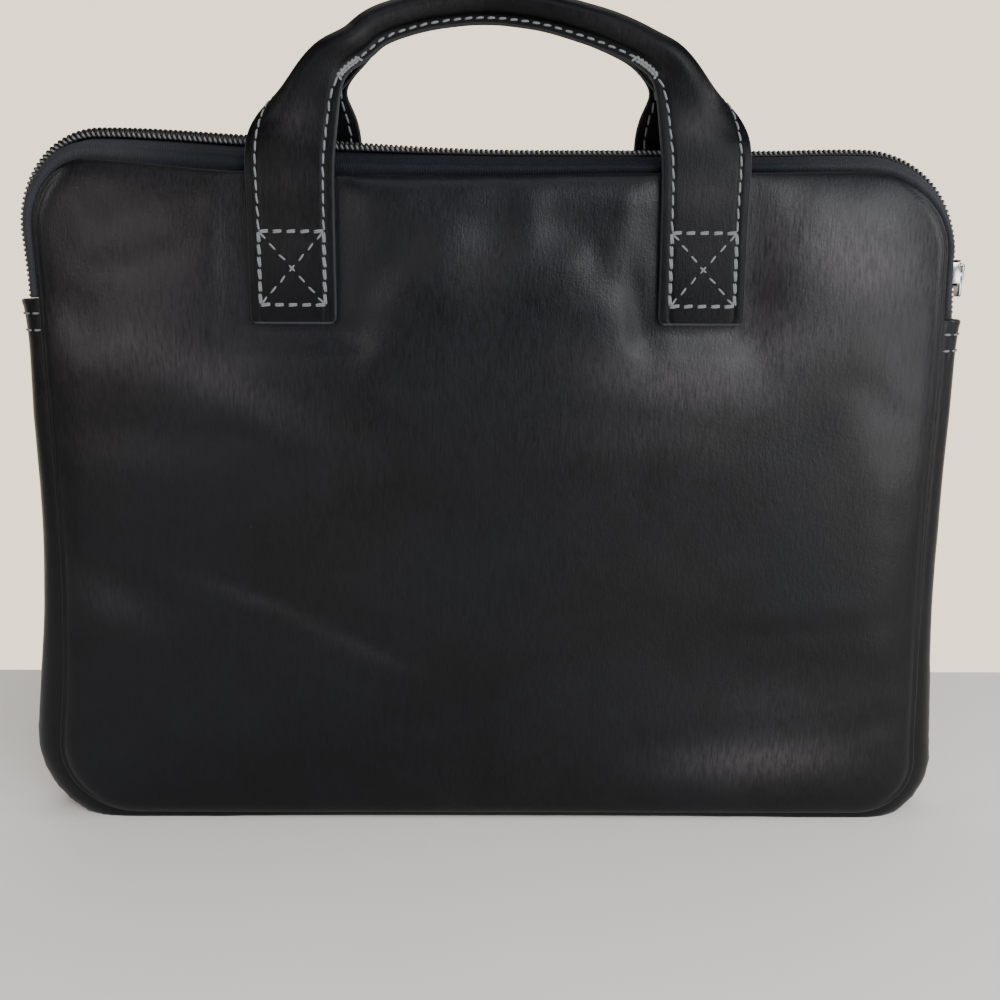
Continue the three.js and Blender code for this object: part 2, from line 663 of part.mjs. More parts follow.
// A handle: a strap from tab to tab, rolled into a tube along its arch
function handle(form, span, rise, side) {
  const rows = form.map((row, i) => ({ ...row, place: i }));
  const column = (name) => curve(rows, 'place', name);
  const [across, up, lean, fold, round] = ['across', 'up', 'lean', 'fold', 'round'].map(column);
  const legPlane = halfCase + gap + strapWall / 2;
  const archPlane = tubeRadius + rollWall + handleGap / 2;
  const last = rows.length - 1;
  const edge = (share) => {
    const place = (1 - Math.abs(share)) * last;
    const sway = archSway * THREE.MathUtils.smoothstep(up(place), swayFrom, swayTo);
    return new THREE.Vector2(
      handleShift + sway + Math.sign(share) * across(place) * (span / 2),
      handleFoot + up(place) * rise);
  };
  const sections = [];
  for (let i = -handleSteps; i <= handleSteps; i += 1) {
    const share = i / handleSteps;
    const place = (1 - Math.abs(share)) * last;
    const small = 0.01;
    const along = edge(Math.min(1, share + small)).sub(edge(Math.max(-1, share - small))).normalize();
    const out = new THREE.Vector2(-along.y, along.x);
    const at = edge(share);
    const plane = mix(legPlane, archPlane, lean(place));
    const share01 = (value) => THREE.MathUtils.clamp(value, 0, 1);
    const { outer, inner } = strapSection(share01(fold(place)), share01(round(place)));
    const set = ([w, d]) =>
      new THREE.Vector3(at.x + out.x * w, side * (plane - d), at.y + out.y * w);
    sections.push({ outer: outer.map(set), inner: inner.map(set) });
  }
  return wall(sections);
}

const leather = { color: 0x17181b, roughness: 0.42, metalness: 0 };
const handleLeather = { color: 0x191a1d, roughness: 0.4, metalness: 0 };
const tapeFabric = { color: 0x12161f, roughness: 0.85, metalness: 0 };
const coilNylon = { color: 0x0d0e11, roughness: 0.5, metalness: 0 };
const chrome = { color: 0xc9cacd, roughness: 0.16, metalness: 1 };

const laptopCase = new THREE.Group();

function place(name, geometry, finish) {
  const mesh = new THREE.Mesh(geometry, new THREE.MeshStandardMaterial(finish));
  mesh.name = name;
  laptopCase.add(mesh);
  return mesh;
}

place('front_panel', panel(FRONT_DENTS, -1), leather);
place('back_panel', panel(BACK_DENTS, 1), leather);
place('gusset', gusset(), leather);
place('zip_tape_front', zipTape(-1), tapeFabric);
place('zip_tape_back', zipTape(1), tapeFabric);
place('zip_coil', zipCoil(), coilNylon);
place('handle_front', handle(FRONT_HANDLE, frontSpan, handleRise, -1), handleLeather);
place('handle_back', handle(BACK_HANDLE, backSpan, handleRise + backLift, 1), handleLeather);

const slider = place('zip_slider', zipSlider(), chrome);
slider.position.copy(ridge(sliderDistance));
slider.rotation.y = sliderTilt;

const pull = place('zip_pull', zipPull(), chrome);
pull.position.copy(slider.position).addScaledVector(sliderOut, pivotOver);

// The origin lies under the middle of the whole case
const whole = new THREE.Box3().setFromObject(laptopCase, true);
laptopCase.position.x = -(whole.min.x + whole.max.x) / 2;

export default laptopCase;
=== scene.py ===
import math

import bmesh
import bpy
import numpy as np
from mathutils import Matrix, Vector, noise


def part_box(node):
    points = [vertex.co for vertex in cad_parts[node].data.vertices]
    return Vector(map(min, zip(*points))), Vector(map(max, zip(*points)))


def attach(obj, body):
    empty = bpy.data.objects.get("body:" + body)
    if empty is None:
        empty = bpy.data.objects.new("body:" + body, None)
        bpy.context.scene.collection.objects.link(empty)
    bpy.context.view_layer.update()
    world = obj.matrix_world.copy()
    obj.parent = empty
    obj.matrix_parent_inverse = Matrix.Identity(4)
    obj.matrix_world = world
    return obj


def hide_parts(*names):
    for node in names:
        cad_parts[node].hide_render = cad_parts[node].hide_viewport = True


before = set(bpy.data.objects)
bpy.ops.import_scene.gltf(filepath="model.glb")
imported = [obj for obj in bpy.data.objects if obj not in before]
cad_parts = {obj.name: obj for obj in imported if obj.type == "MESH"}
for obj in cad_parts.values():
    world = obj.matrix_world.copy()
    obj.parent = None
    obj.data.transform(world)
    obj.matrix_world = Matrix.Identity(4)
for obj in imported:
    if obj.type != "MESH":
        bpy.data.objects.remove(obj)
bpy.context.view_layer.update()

MM = 0.001

# Sizes of the case in millimetres, as in the solids that these pieces dress
SEAM_WIDTH = 358.0
SEAM_HEIGHT = 265.4
SEAM_LIFT = 3.0
SEAM_DEPTH = 30.0
CASE_DEPTH = 38.0
RADIUS_TOP_LEFT = 24.0
RADIUS_TOP_RIGHT = 30.0
RADIUS_BOTTOM_RIGHT = 24.0
RADIUS_BOTTOM_LEFT = 32.0
CROWN = 10.0
END_RISE = 2.0
END_REACH = 22.0
END_HEIGHT_LEFT = 220.0
END_HEIGHT_RIGHT = 213.3
GAP = 0.3
SEWN_IN = 3.0
GUSSET_WALL = 2.0
TAPE_WALL = 1.2
TAPE_SLOT = 1.2
COIL_WIDTH = 6.0
COIL_HEIGHT = 2.2

STRAP_WIDTH = 32.4
STRAP_WALL = 2.6
ROLL_WALL = 1.8
PRESS_WIDTH = 39.0
PRESS_RADIUS = 2.7
ROLL_WIDTH = 33.5
TUBE_RADIUS = 4.9
STRAP_SWELL = 1.0  # how much wider the strap is where it leaves the panel
SWELL_HEIGHT = 277.0
SWELL_REACH = 16.0
FLANGE = 2.2
HANDLE_SHIFT = 1.5
ARCH_SWAY = -5.0  # how far the arch's top leans to the left of its legs
SWAY_FROM = 0.865  # between which shares of the arch's height it does
SWAY_TO = 0.955
HANDLE_FOOT = 211.0
HANDLE_RISE = 114.9
FRONT_SPAN = 127.4
BACK_SPAN = 120.0
BACK_LIFT = 3.1
ARCH_PLANE = 8.2

HALF_WIDTH = SEAM_WIDTH / 2
HALF_HEIGHT = SEAM_HEIGHT / 2
HALF_SEAM = SEAM_DEPTH / 2
HALF_CASE = CASE_DEPTH / 2
SEAM_TOP = SEAM_LIFT + SEAM_HEIGHT
COIL_STACK = COIL_HEIGHT + GAP

# Side seams: height as a share of the seam height, shifts as shares of half the width
SIDE_FORM = [
    # height, left, right
    (0, 0.034, 0.01), (0.07, 0.031, 0.009), (0.13, 0.026, 0.005), (0.2, 0.014, 0.003), (0.27, 0.006, 0),
    (0.4, -0.003, -0.003), (0.55, -0.003, -0.002), (0.68, 0.001, 0.002), (0.77, 0.003, 0.002),
    (0.85, 0.005, -0.001), (1, 0.012, 0),
]
# Top seam: place across as a share of half the width, lift as a share of the seam height
TOP_FORM = [
    # across, lift
    (-1, 0.024), (-0.82, 0.019), (-0.57, 0.005), (-0.28, 0), (0, 0), (0.25, 0.003), (0.56, 0.005),
    (0.8, 0.007), (0.93, 0.001), (1, 0),
]
# Arch of gusset and zip: direction from the panel's middle in degrees, share of CROWN
CROWN_FORM = [
    # turn, rise
    (0, 0.9), (20, 0.94), (33, 0.88), (40, 0.84), (47, 1), (58, 0.97), (75, 1.03), (90, 1.12),
    (108, 1.3), (122, 1.4), (135, 1.12), (147, 0.94), (165, 1.06), (180, 1.07), (198, 1.21),
    (212, 1.38), (222, 1.3), (235, 0.9), (245, 0.6), (295, 0.6), (305, 0.8), (315, 1.1), (322, 1.08),
    (340, 0.88),
]
# Handles, from the foot of a leg to the top of the arch, along the strap's inner edge
FRONT_HANDLE = [
    # across, up, lean, fold, round
    (1, 0, 0, 0, 0), (1, 0.34, 0, 0, 0), (0.997, 0.516, 0.02, 0, 0), (0.985, 0.6, 0.08, 0.04, 0),
    (0.97, 0.69, 0.2, 0.17, 0), (0.958, 0.755, 0.31, 0.29, 0), (0.944, 0.79, 0.38, 0.6, 0),
    (0.92, 0.82, 0.43, 0.93, 0.5), (0.842, 0.858, 0.53, 1, 0.92), (0.73, 0.896, 0.66, 1, 0.88),
    (0.606, 0.932, 0.75, 1, 0.93), (0.362, 0.976, 0.9, 1, 1), (0.12, 0.997, 1, 1, 1), (0, 1, 1, 1, 1),
]
BACK_HANDLE = [
    # across, up, lean, fold, round
    (1, 0, 0, 0, 0), (1, 0.33, 0, 0, 0), (0.97, 0.5, 0.02, 0, 0), (0.952, 0.604, 0.08, 0.03, 0),
    (0.975, 0.69, 0.2, 0.17, 0), (1.03, 0.755, 0.33, 0.6, 0), (1.045, 0.785, 0.4, 1, 0.1),
    (1, 0.826, 0.52, 1, 0.45), (0.87, 0.886, 0.66, 1, 0.8), (0.68, 0.94, 0.75, 1, 0.95),
    (0.4, 0.98, 0.9, 1, 1), (0.13, 0.998, 1, 1, 1), (0, 1, 1, 1, 1),
]


def curve(rows, column, period=0):
    """Smooth curve through one column of a table over its first column."""
    knots = [(row[0], row[column]) for row in rows]
    if period:
        knots = [(knots[-1][0] - period, knots[-1][1])] + knots + [(x + period, y) for x, y in knots[:2]]
    xs, ys = np.array(knots, float).T
    before = np.maximum(np.arange(len(xs)) - 1, 0)
    after = np.minimum(np.arange(len(xs)) + 1, len(xs) - 1)
    slopes = (ys[after] - ys[before]) / (xs[after] - xs[before])

    def value(place):
        x = np.asarray(place, float)
        x = np.mod(x, period) if period else np.clip(x, xs[0], xs[-1])
        i = np.clip(np.searchsorted(xs, x, side="right") - 1, 0, len(xs) - 2)
        width = xs[i + 1] - xs[i]
        t = (x - xs[i]) / width
        rise = (1 - t) ** 2 * (1 + 2 * t) * ys[i] + t * t * (3 - 2 * t) * ys[i + 1]
        bend = t * (1 - t) ** 2 * slopes[i] - t * t * (1 - t) * slopes[i + 1]
        return rise + bend * width

    return value


side_left, side_right = curve(SIDE_FORM, 1), curve(SIDE_FORM, 2)
top_lift = curve(TOP_FORM, 1)
crown_rise = curve(CROWN_FORM, 1, 360)


def mix(start, end, share):
    return start + (end - start) * share


def bell(value):
    """1 at zero, falling to nothing on both sides."""
    return np.exp(-(value**2))


def running(steps):
    """Distance covered before each step and after the last."""
    return np.concatenate([[0], np.cumsum(steps)])


def smooth(low, high, value):
    t = np.clip((np.asarray(value, float) - low) / (high - low), 0, 1)
    return t * t * (3 - 2 * t)


def seam_runs():
    """Straight runs and corner arcs of the seam: kind, numbers and length of each."""
    tl, tr, br, bl = RADIUS_TOP_LEFT, RADIUS_TOP_RIGHT, RADIUS_BOTTOM_RIGHT, RADIUS_BOTTOM_LEFT
    w, low, top, q = HALF_WIDTH, SEAM_LIFT, SEAM_TOP, math.pi / 2
    return [
        ("line", (0, low, 1, 0), w - br),
        ("arc", (w - br, low + br, br, -q), br * q),
        ("line", (w, low + br, 0, 1), SEAM_HEIGHT - br - tr),
        ("arc", (w - tr, top - tr, tr, 0), tr * q),
        ("line", (w - tr, top, -1, 0), SEAM_WIDTH - tr - tl),
        ("arc", (-w + tl, top - tl, tl, q), tl * q),
        ("line", (-w, top - tl, 0, -1), SEAM_HEIGHT - tl - bl),
        ("arc", (-w + bl, low + bl, bl, 2 * q), bl * q),
        ("line", (-w + bl, low, 1, 0), w - bl),
    ]


RUNS = seam_runs()
SEAM_LENGTH = sum(run[2] for run in RUNS)


def distance_right(z):
    return RUNS[0][2] + RUNS[1][2] + (z - SEAM_LIFT - RADIUS_BOTTOM_RIGHT)


def distance_left(z):
    return SEAM_LENGTH - RUNS[8][2] - RUNS[7][2] - (z - SEAM_LIFT - RADIUS_BOTTOM_LEFT)


def seam_point(distance):
    rest = np.mod(np.asarray(distance, float), SEAM_LENGTH)
    x, z = np.zeros_like(rest), np.zeros_like(rest)
    start = 0.0
    for kind, numbers, length in RUNS:
        here = (rest >= start) & (rest <= start + length)
        s = rest[here] - start
        if kind == "line":
            x0, z0, dx, dz = numbers
            x[here], z[here] = x0 + dx * s, z0 + dz * s
        else:
            x0, z0, radius, turn = numbers
            x[here] = x0 + radius * np.cos(turn + s / radius)
            z[here] = z0 + radius * np.sin(turn + s / radius)
        start += length
    height, across = (z - SEAM_LIFT) / SEAM_HEIGHT, x / HALF_WIDTH
    spread = np.where(across < 0, side_left(height), side_right(height))
    upper = np.maximum(0, 2 * height - 1) ** 6
    return np.stack([x * (1 + spread), z + upper * top_lift(across) * SEAM_HEIGHT], -1)


def bearing(point):
    """Directions of points from the panel's middle, in degrees."""
    return np.degrees(np.arctan2((point[:, 1] - SEAM_LIFT - HALF_HEIGHT) / HALF_HEIGHT,
                                 point[:, 0] / HALF_WIDTH))


def stations(distances):
    """Points of the seam, directions out of the case and heights of the arch there."""
    distances = np.asarray(distances, float)
    point = seam_point(distances)
    along = seam_point(distances + 0.5) - seam_point(distances - 0.5)
    along /= np.linalg.norm(along, axis=-1, keepdims=True)
    out = np.stack([along[:, 1], -along[:, 0]], -1)
    return point, out, CROWN * crown_rise(bearing(point))


# The solids' origin lies under the middle of the whole case
seam_left = seam_point(np.linspace(0, SEAM_LENGTH, 2000))[:, 0].min()
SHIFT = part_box("front_panel")[0].x / MM - seam_left


def metres(points):
    """Millimetres about the seam's middle to metres in the frame."""
    return (np.asarray(points, float) + np.array([SHIFT, 0, 0])) * MM


# Meshes

def add_object(name, data):
    thing = bpy.data.objects.new(name, data)
    bpy.context.scene.collection.objects.link(thing)
    return thing


def mark(mesh, key, values):
    """Give each point of a mesh its value of an attribute."""
    data = mesh.attributes.new(key, "FLOAT", "POINT").data
    data.foreach_set("value", np.asarray(values, np.float32).ravel())


def face_out(mesh):
    """Turn a closed mesh's faces outwards."""
    work = bmesh.new()
    work.from_mesh(mesh)
    if work.calc_volume(signed=True) < 0:
        bmesh.ops.reverse_faces(work, faces=work.faces)
    work.to_mesh(mesh)
    work.free()


def smooth_faces(mesh):
    mesh.polygons.foreach_set("use_smooth", [True] * len(mesh.polygons))


def tube_faces(rows, count):
    """Quads of a tube of closed sections, with one many-sided face at each end."""
    faces = []
    for a in range(0, (rows - 1) * count, count):
        for j in range(count):
            k = (j + 1) % count
            faces.append((a + j, a + count + j, a + count + k, a + k))
    return faces + [tuple(range(count)), tuple(reversed(range((rows - 1) * count, rows * count)))]


def new_object(name, points, faces, material, attributes):
    mesh = bpy.data.meshes.new(name)
    mesh.from_pydata(metres(points).tolist(), [], faces)
    for key, values in attributes.items():
        mark(mesh, key, values)
    smooth_faces(mesh)
    mesh.materials.append(material)
    face_out(mesh)
    return add_object(name, mesh)


def lifted(point, out, over, y):
    """Points at heights over the seam and depths from the case's middle, one row a station."""
    x = point[:, :1] + out[:, :1] * over
    z = point[:, 1:] + out[:, 1:] * over
    return np.stack(np.broadcast_arrays(x, y, z), -1)


def wrinkle(points, scale, seed):
    """Smooth noise between -1 and 1 at points in millimetres."""
    flat = points.reshape(-1, 3)
    values = [noise.noise(Vector(p) * scale + Vector((seed, seed * 0.7, 3.1))) for p in flat]
    return np.array(values).reshape(points.shape[:-1])


# Shaders

class Sock:
    """A shader socket on which Python's arithmetic adds Math nodes."""

    def __init__(self, graph, socket):
        self.graph, self.socket = graph, socket

    def math(self, operation, *others):
        return self.graph.node("ShaderNodeMath", {"operation": operation},
                               dict(enumerate((self, *others))))

    def __add__(self, other):
        return self.math("ADD", other)

    def __sub__(self, other):
        return self.math("SUBTRACT", other)

    def __mul__(self, other):
        return self.math("MULTIPLY", other)

    __radd__ = __add__
    __rmul__ = __mul__

    def between(self, low, high):
        """0 below low, 1 above high."""
        return self.graph.node("ShaderNodeMapRange", {"interpolation_type": "SMOOTHSTEP"},
                               {0: self, 1: low, 2: high})


class Graph:
    """A node tree under construction."""

    def __init__(self, tree):
        self.tree = tree

    def node(self, kind, settings=None, sockets=None, output=0):
        made = self.tree.nodes.new(kind)
        for key, value in (settings or {}).items():
            setattr(made, key, value)
        for key, value in (sockets or {}).items():
            self.feed(made.inputs[key], value)
        return Sock(self, made.outputs[output])

    def feed(self, socket, value):
        if isinstance(value, Sock):
            self.tree.links.new(value.socket, socket)
        else:
            socket.default_value = value

    def blend(self, share, first, second):
        return self.node("ShaderNodeMix", {"data_type": "RGBA"}, {"Factor": share, 6: first, 7: second}, 2)


class Look(Graph):
    """A material under construction."""

    def __init__(self, name):
        self.material = bpy.data.materials.new(name)
        self.material.use_nodes = True
        super().__init__(self.material.node_tree)

    def place(self):
        return self.node("ShaderNodeTexCoord", output="Object")

    def stretched(self, scale):
        return self.node("ShaderNodeMapping", None, {"Vector": self.place(), "Scale": scale})

    def noise(self, scale, detail=3.0, rough=0.5, stretch=(1, 1, 1), distort=0.0):
        return self.node("ShaderNodeTexNoise", None, {
            "Vector": self.stretched(stretch), "Scale": scale, "Detail": detail,
            "Roughness": rough, "Distortion": distort})

    def cells(self, scale, feature="F1"):
        return self.node("ShaderNodeTexVoronoi", {"feature": feature}, {
            "Vector": self.stretched((1, 1, 1)), "Scale": scale}, output="Distance")

    def attribute(self, name):
        return self.node("ShaderNodeAttribute", {"attribute_name": name}, output="Fac")

    def bump(self, height, distance, strength=1.0, normal=None):
        sockets = {"Height": height, "Distance": distance, "Strength": strength}
        if normal is not None:
            sockets["Normal"] = normal
        return self.node("ShaderNodeBump", None, sockets)

    def finish(self, **sockets):
        shader = self.tree.nodes["Principled BSDF"]
        for key, value in sockets.items():
            self.feed(shader.inputs[key.replace("_", " ")], value)
        return self.material


def leather(name, gloss, grain, depth, specular):
    """Smooth black leather: soft sheen in patches, fine upright grain, pores and pale specks, with painted
    highlight lightening its colour in listed patches and along edges that are also worn.
    """
    look = Look(name)
    cloudy = look.noise(15.0, 4.0, 0.55, (1, 1, 1.3), 0.6)
    warmth = look.noise(6.0, 2.0, 0.5)
    patches = look.noise(48.0, 3.0, 0.5)
    upright = look.noise(1300.0, 2.0, 0.6, (1, 1, 0.18))
    streak = look.noise(760.0, 3.0, 0.6, (1, 1, 0.16))
    pores = look.cells(1250.0)
    pebble = look.cells(560.0, "SMOOTH_F1")
    speck = look.cells(95.0).between(0.032, 0.02)
    chance = look.noise(21.0, 1.0).between(0.6, 0.68)
    wear_and_highlight = look.attribute("wear_and_highlight")
    sheen = (0.5 * cloudy + 0.5 * upright).between(0.36, 0.66)

    def tone(red, green, blue):
        return (depth * red, depth * green, depth * blue, 1)

    blue = look.blend(sheen, tone(0.0008, 0.001, 0.002), tone(0.003, 0.0037, 0.0056))
    brown = look.blend(sheen, tone(0.0012, 0.001, 0.0016), tone(0.005, 0.0043, 0.0052))
    base = look.blend(warmth.between(0.42, 0.68), blue, brown)
    # painted highlight: the colour is lightened towards a pale grey in the patches listed for each panel and
    # strap
    painted_sheen = look.attribute("painted_sheen") * (0.25 + 1.5 * (0.5 * upright + 0.5 * streak)).between(0.35, 1.6)
    base = look.blend(painted_sheen, base, (0.08, 0.073, 0.078, 1))
    # wear and painted highlight: the turned edges of the panels, the cut edges of the straps and the tabs'
    # feet are lightened towards a pale blue-grey
    base = look.blend(wear_and_highlight * 0.7, base, (0.09, 0.1, 0.112, 1))
    base = look.blend(speck * chance * 0.5, base, (0.2, 0.2, 0.2, 1))
    rough = (gloss + 0.12 * (patches - 0.5) + 0.22 * (cloudy - 0.5)
             + 0.24 * (upright - 0.5) + 0.1 * wear_and_highlight)
    height = 0.4 * pores + 0.35 * pebble + 0.8 * upright
    fine = look.bump(height, 0.00011 * grain)
    soft = look.bump(look.noise(70.0, 2.0, 0.5), 0.00016, 1.0, fine)
    return look.finish(Base_Color=base, Roughness=rough, Normal=soft, Specular_IOR_Level=specular)


def tape_cloth():
    """Blue-black zip tape: a fine herringbone of ribs that run along the tape, with painted light towards
    both ends.
    """
    look = Look("zip_tape_weave")
    around = look.attribute("along")
    across = look.attribute("across")
    rib = (across * 4.2).math("SINE") * 0.5 + 0.5
    twill = ((around * 6.4 + across * 3.1).math("SINE") * 0.5 + 0.5)
    fuzz = look.noise(1500.0, 2.0, 0.7)
    cloudy = look.noise(30.0, 3.0)
    thread = 0.5 * rib + 0.5 * twill
    base = look.blend(thread * 0.55 + 0.45 * cloudy, (0.0018, 0.0024, 0.0042, 1), (0.0085, 0.011, 0.0165, 1))
    base = look.blend(fuzz.between(0.55, 0.75) * 0.4, base, (0.016, 0.019, 0.026, 1))
    sideways = look.node("ShaderNodeSeparateXYZ", None, {"Vector": look.place()}, "X")
    # painted light: the tape's colour turns lighter grey towards both ends of the zip
    painted_end_light = sideways.between(0.1, 0.17) + sideways.between(-0.1, -0.17)
    base = look.blend(painted_end_light * (0.35 + 0.6 * cloudy), base, (0.034, 0.036, 0.041, 1))
    normal = look.bump(thread + 0.6 * fuzz, 0.00022)
    return look.finish(Base_Color=base, Roughness=0.7 + 0.15 * (fuzz - 0.5), Normal=normal,
                       Specular_IOR_Level=0.12)


def coil_nylon():
    """Black nylon wire, with a painted highlight on the front of each tooth."""
    look = Look("zip_coil_nylon")
    tint = look.noise(260.0, 2.0)
    base = look.blend(tint, (0.0012, 0.0012, 0.0014, 1), (0.003, 0.003, 0.0033, 1))
    # painted highlight: the front of each tooth is lightened to grey
    base = look.blend(look.attribute("painted_tooth_highlight") * (0.55 + 0.45 * tint), base, (0.2, 0.2, 0.205, 1))
    return look.finish(Base_Color=base, Roughness=0.42 + 0.16 * tint, Specular_IOR_Level=0.2,
                       Normal=look.bump(look.noise(2400.0, 1.0), 0.00003))


def sewing_thread(name, tone):
    """Twisted thread, a little soiled, with painted shade on the rods in the stitch holes."""
    look = Look(name)
    soil = look.noise(160.0, 3.0)
    twist = look.noise(2600.0, 2.0, 0.6, (1, 1, 1.6))
    pale, grey = tuple(tone) + (1,), tuple(0.55 * c for c in tone) + (1,)
    base = look.blend(0.6 * soil + 0.35 * twist, pale, grey)
    # painted shade: the rods sunk in the stitch holes are coloured near black
    base = look.blend(look.attribute("painted_hole_shade"), base, (0.0012, 0.0012, 0.0014, 1))
    return look.finish(Base_Color=base, Roughness=0.7 + 0.1 * (soil - 0.5), Specular_IOR_Level=0.25,
                       Normal=look.bump(twist, 0.00012))


def bright_metal():
    """Polished chrome with fine rubbing marks."""
    look = Look("zip_chrome")
    rub = look.noise(700.0, 3.0, 0.6, (1, 4, 0.5))
    haze = look.noise(120.0, 2.0)
    base = look.blend(haze, (0.15, 0.15, 0.16, 1), (0.32, 0.32, 0.34, 1))
    return look.finish(Base_Color=base, Metallic=1.0, Roughness=0.12 + 0.12 * rub,
                       Normal=look.bump(rub, 0.00002))


CASE_LEATHER = leather("case_leather", 0.4, 0.8, 1.0, 0.19)
STRAP_LEATHER = leather("handle_leather", 0.42, 0.7, 0.6, 0.11)
TAPE = tape_cloth()
NYLON = coil_nylon()
THREAD = sewing_thread("stitch_thread", (0.19, 0.2, 0.205))
CHROME = bright_metal()


# Panels

# Rounding of a panel over to its seam: distance in from the seam, share of the full depth
SHOULDER = [
    # inset, depth on the top and bottom edges, depth on the upright edges, which stand up as a bead
    (1.1, -0.02, -0.02), (0.35, 0, 0), (0.06, 0.07, 0.07), (0, 0.16, 0.16), (0.1, 0.26, 0.27),
    (0.4, 0.36, 0.36), (0.9, 0.46, 0.405), (1.5, 0.55, 0.41), (2.05, 0.62, 0.43), (2.6, 0.68, 0.52),
    (3.3, 0.74, 0.65), (4.4, 0.82, 0.79), (6.2, 0.91, 0.905), (9, 0.98, 0.98), (13, 1, 1),
]
BEAD = 0.3  # share of the depth over which the turned edge is painted pale, partly as wear and partly as a painted highlight

# Broad dents: place across and up, reach along and across, tilt in degrees, depth in mm
FRONT_DENTS = [
    (-0.02, 0.89, 0.16, 0.09, 80, 0.95), (0.2, 0.93, 0.2, 0.1, 20, 0.8),
    (0.56, 0.86, 0.26, 0.13, 70, 1.2), (0.7, 0.66, 0.3, 0.14, 15, 1), (-0.72, 0.62, 0.34, 0.14, -8, 1),
    (-0.46, 0.35, 0.26, 0.1, -28, 1.2), (0, 0.4, 0.6, 0.36, 0, 1.2), (0.62, 0.24, 0.34, 0.16, -6, 1.1),
]
BACK_DENTS = [
    (0.3, 0.45, 0.6, 0.36, 0, 1.2), (-0.5, 0.62, 0.36, 0.2, 14, 1), (-0.3, 0.24, 0.4, 0.18, -10, 0.95),
]
# Creases: the two ends as places across and up, half width in mm, depth in mm
FRONT_CREASES = [
    (-0.78, 0.43, -0.4, 0.3, 2.4, 0.35), (-0.7, 0.62, -0.3, 0.63, 3.5, 0.3),
    (-0.95, 0.86, -0.62, 0.9, 5, 0.4), (0.45, 0.6, 0.78, 0.64, 8, 0.2),
    (0.3, 0.88, 0.36, 0.72, 4.5, 0.4), (0.52, 0.3, 0.9, 0.33, 5, 0.4),
]

# Patches of painted highlight, where the leather's colour is lightened to show sheen: place, reach and tilt
# as for a dent, then how pale
FRONT_PAINTED_SHEEN = [
    (0.76, 0.91, 0.36, 0.15, -14, 0.55), (0.79, 0.87, 0.16, 0.1, -30, 0.45),
    (0.62, 0.755, 0.26, 0.12, 12, 0.5), (0.42, 0.7, 0.28, 0.08, -8, 0.5),
    (0.36, 0.62, 0.26, 0.07, 0, 0.16), (0.9, 0.68, 0.12, 0.3, 0, 0.35),
    (0.52, 0.86, 0.08, 0.16, 10, 0.3), (0.63, 0.1, 0.28, 0.075, 3, 0.65),
    (0.27, 0.84, 0.035, 0.16, 0, 0.22), (-0.78, 0.86, 0.3, 0.3, 0, 0.2),
    (-0.8, 0.75, 0.36, 0.1, -12, 0.26), (-0.56, 0.68, 0.24, 0.06, -25, 0.22),
    (-0.02, 0.88, 0.13, 0.1, 0, 0.14), (-0.88, 0.36, 0.16, 0.07, -30, 0.16),
    (-0.84, 0.6, 0.22, 0.06, -6, 0.1), (-0.55, 0.36, 0.2, 0.022, -22, 0.16),
    (-0.3, 0.28, 0.16, 0.02, -24, 0.14), (0.7, 0.2, 0.4, 0.1, 4, 0.12),
]
BACK_PAINTED_SHEEN = [
    (0.4, 0.8, 0.5, 0.2, 8, 0.3), (-0.5, 0.7, 0.4, 0.16, -10, 0.3), (-0.2, 0.2, 0.5, 0.1, 5, 0.2),
]


def dent_depth(dents, x, z):
    total = np.zeros_like(x)
    for across, height, length, width, tilt, depth in dents:
        dx = x / HALF_WIDTH - across
        dz = (z - SEAM_LIFT - height * SEAM_HEIGHT) / HALF_WIDTH
        c, s = math.cos(math.radians(tilt)), math.sin(math.radians(tilt))
        along, beside = (dx * c + dz * s) / length, (dz * c - dx * s) / width
        total += depth * np.exp(-2 * (along**2 + beside**2))
    return total


def crease_depth(creases, x, z):
    total = np.zeros_like(x)
    for x0, z0, x1, z1, width, depth in creases:
        ax, az = x0 * HALF_WIDTH, SEAM_LIFT + z0 * SEAM_HEIGHT
        bx, bz = x1 * HALF_WIDTH, SEAM_LIFT + z1 * SEAM_HEIGHT
        length = math.hypot(bx - ax, bz - az)
        ux, uz = (bx - ax) / length, (bz - az) / length
        t = (x - ax) * ux + (z - az) * uz
        off = (z - az) * ux - (x - ax) * uz + 2.0 * np.sin(3.0 * t / length)
        fade = smooth(-6, 0.3 * length, t) * smooth(length + 6, 0.7 * length, t)
        fold, lip = (bell((off - shift * width) / width) for shift in (0, 1.9))
        total += depth * fade * (fold - 0.5 * lip)
    return total


SHEET_STEP = 6.5  # mesh of the cloth that finds how the leather lies over its padding
SHEET_GROWTH = 0.012  # how much larger the leather is than the space it is sewn into
SHEET_CAP = 2.4  # the padding pushes it out by less than this
SHEET_FRAMES = 20
PADDING = {
    "quality": 6, "mass": 0.35, "tension_stiffness": 22, "compression_stiffness": 22,
    "shear_stiffness": 14, "bending_stiffness": 2.2, "shrink_min": -SHEET_GROWTH,
    "shrink_max": -SHEET_GROWTH, "use_pressure": True, "uniform_pressure_force": 4,
    "vertex_group_mass": "sewn", "pin_stiffness": 2,
}
STRAPS_HOLD = [(-98, -58), (62, 100)]  # where the sewn straps keep the padding down
STRAP_TABS = [(-95, -61), (66, 97)]  # where the tabs' feet press in
STRAP_EDGES = [-96, -60.5, 64.5, 98.5]  # beside these the panel sinks a little


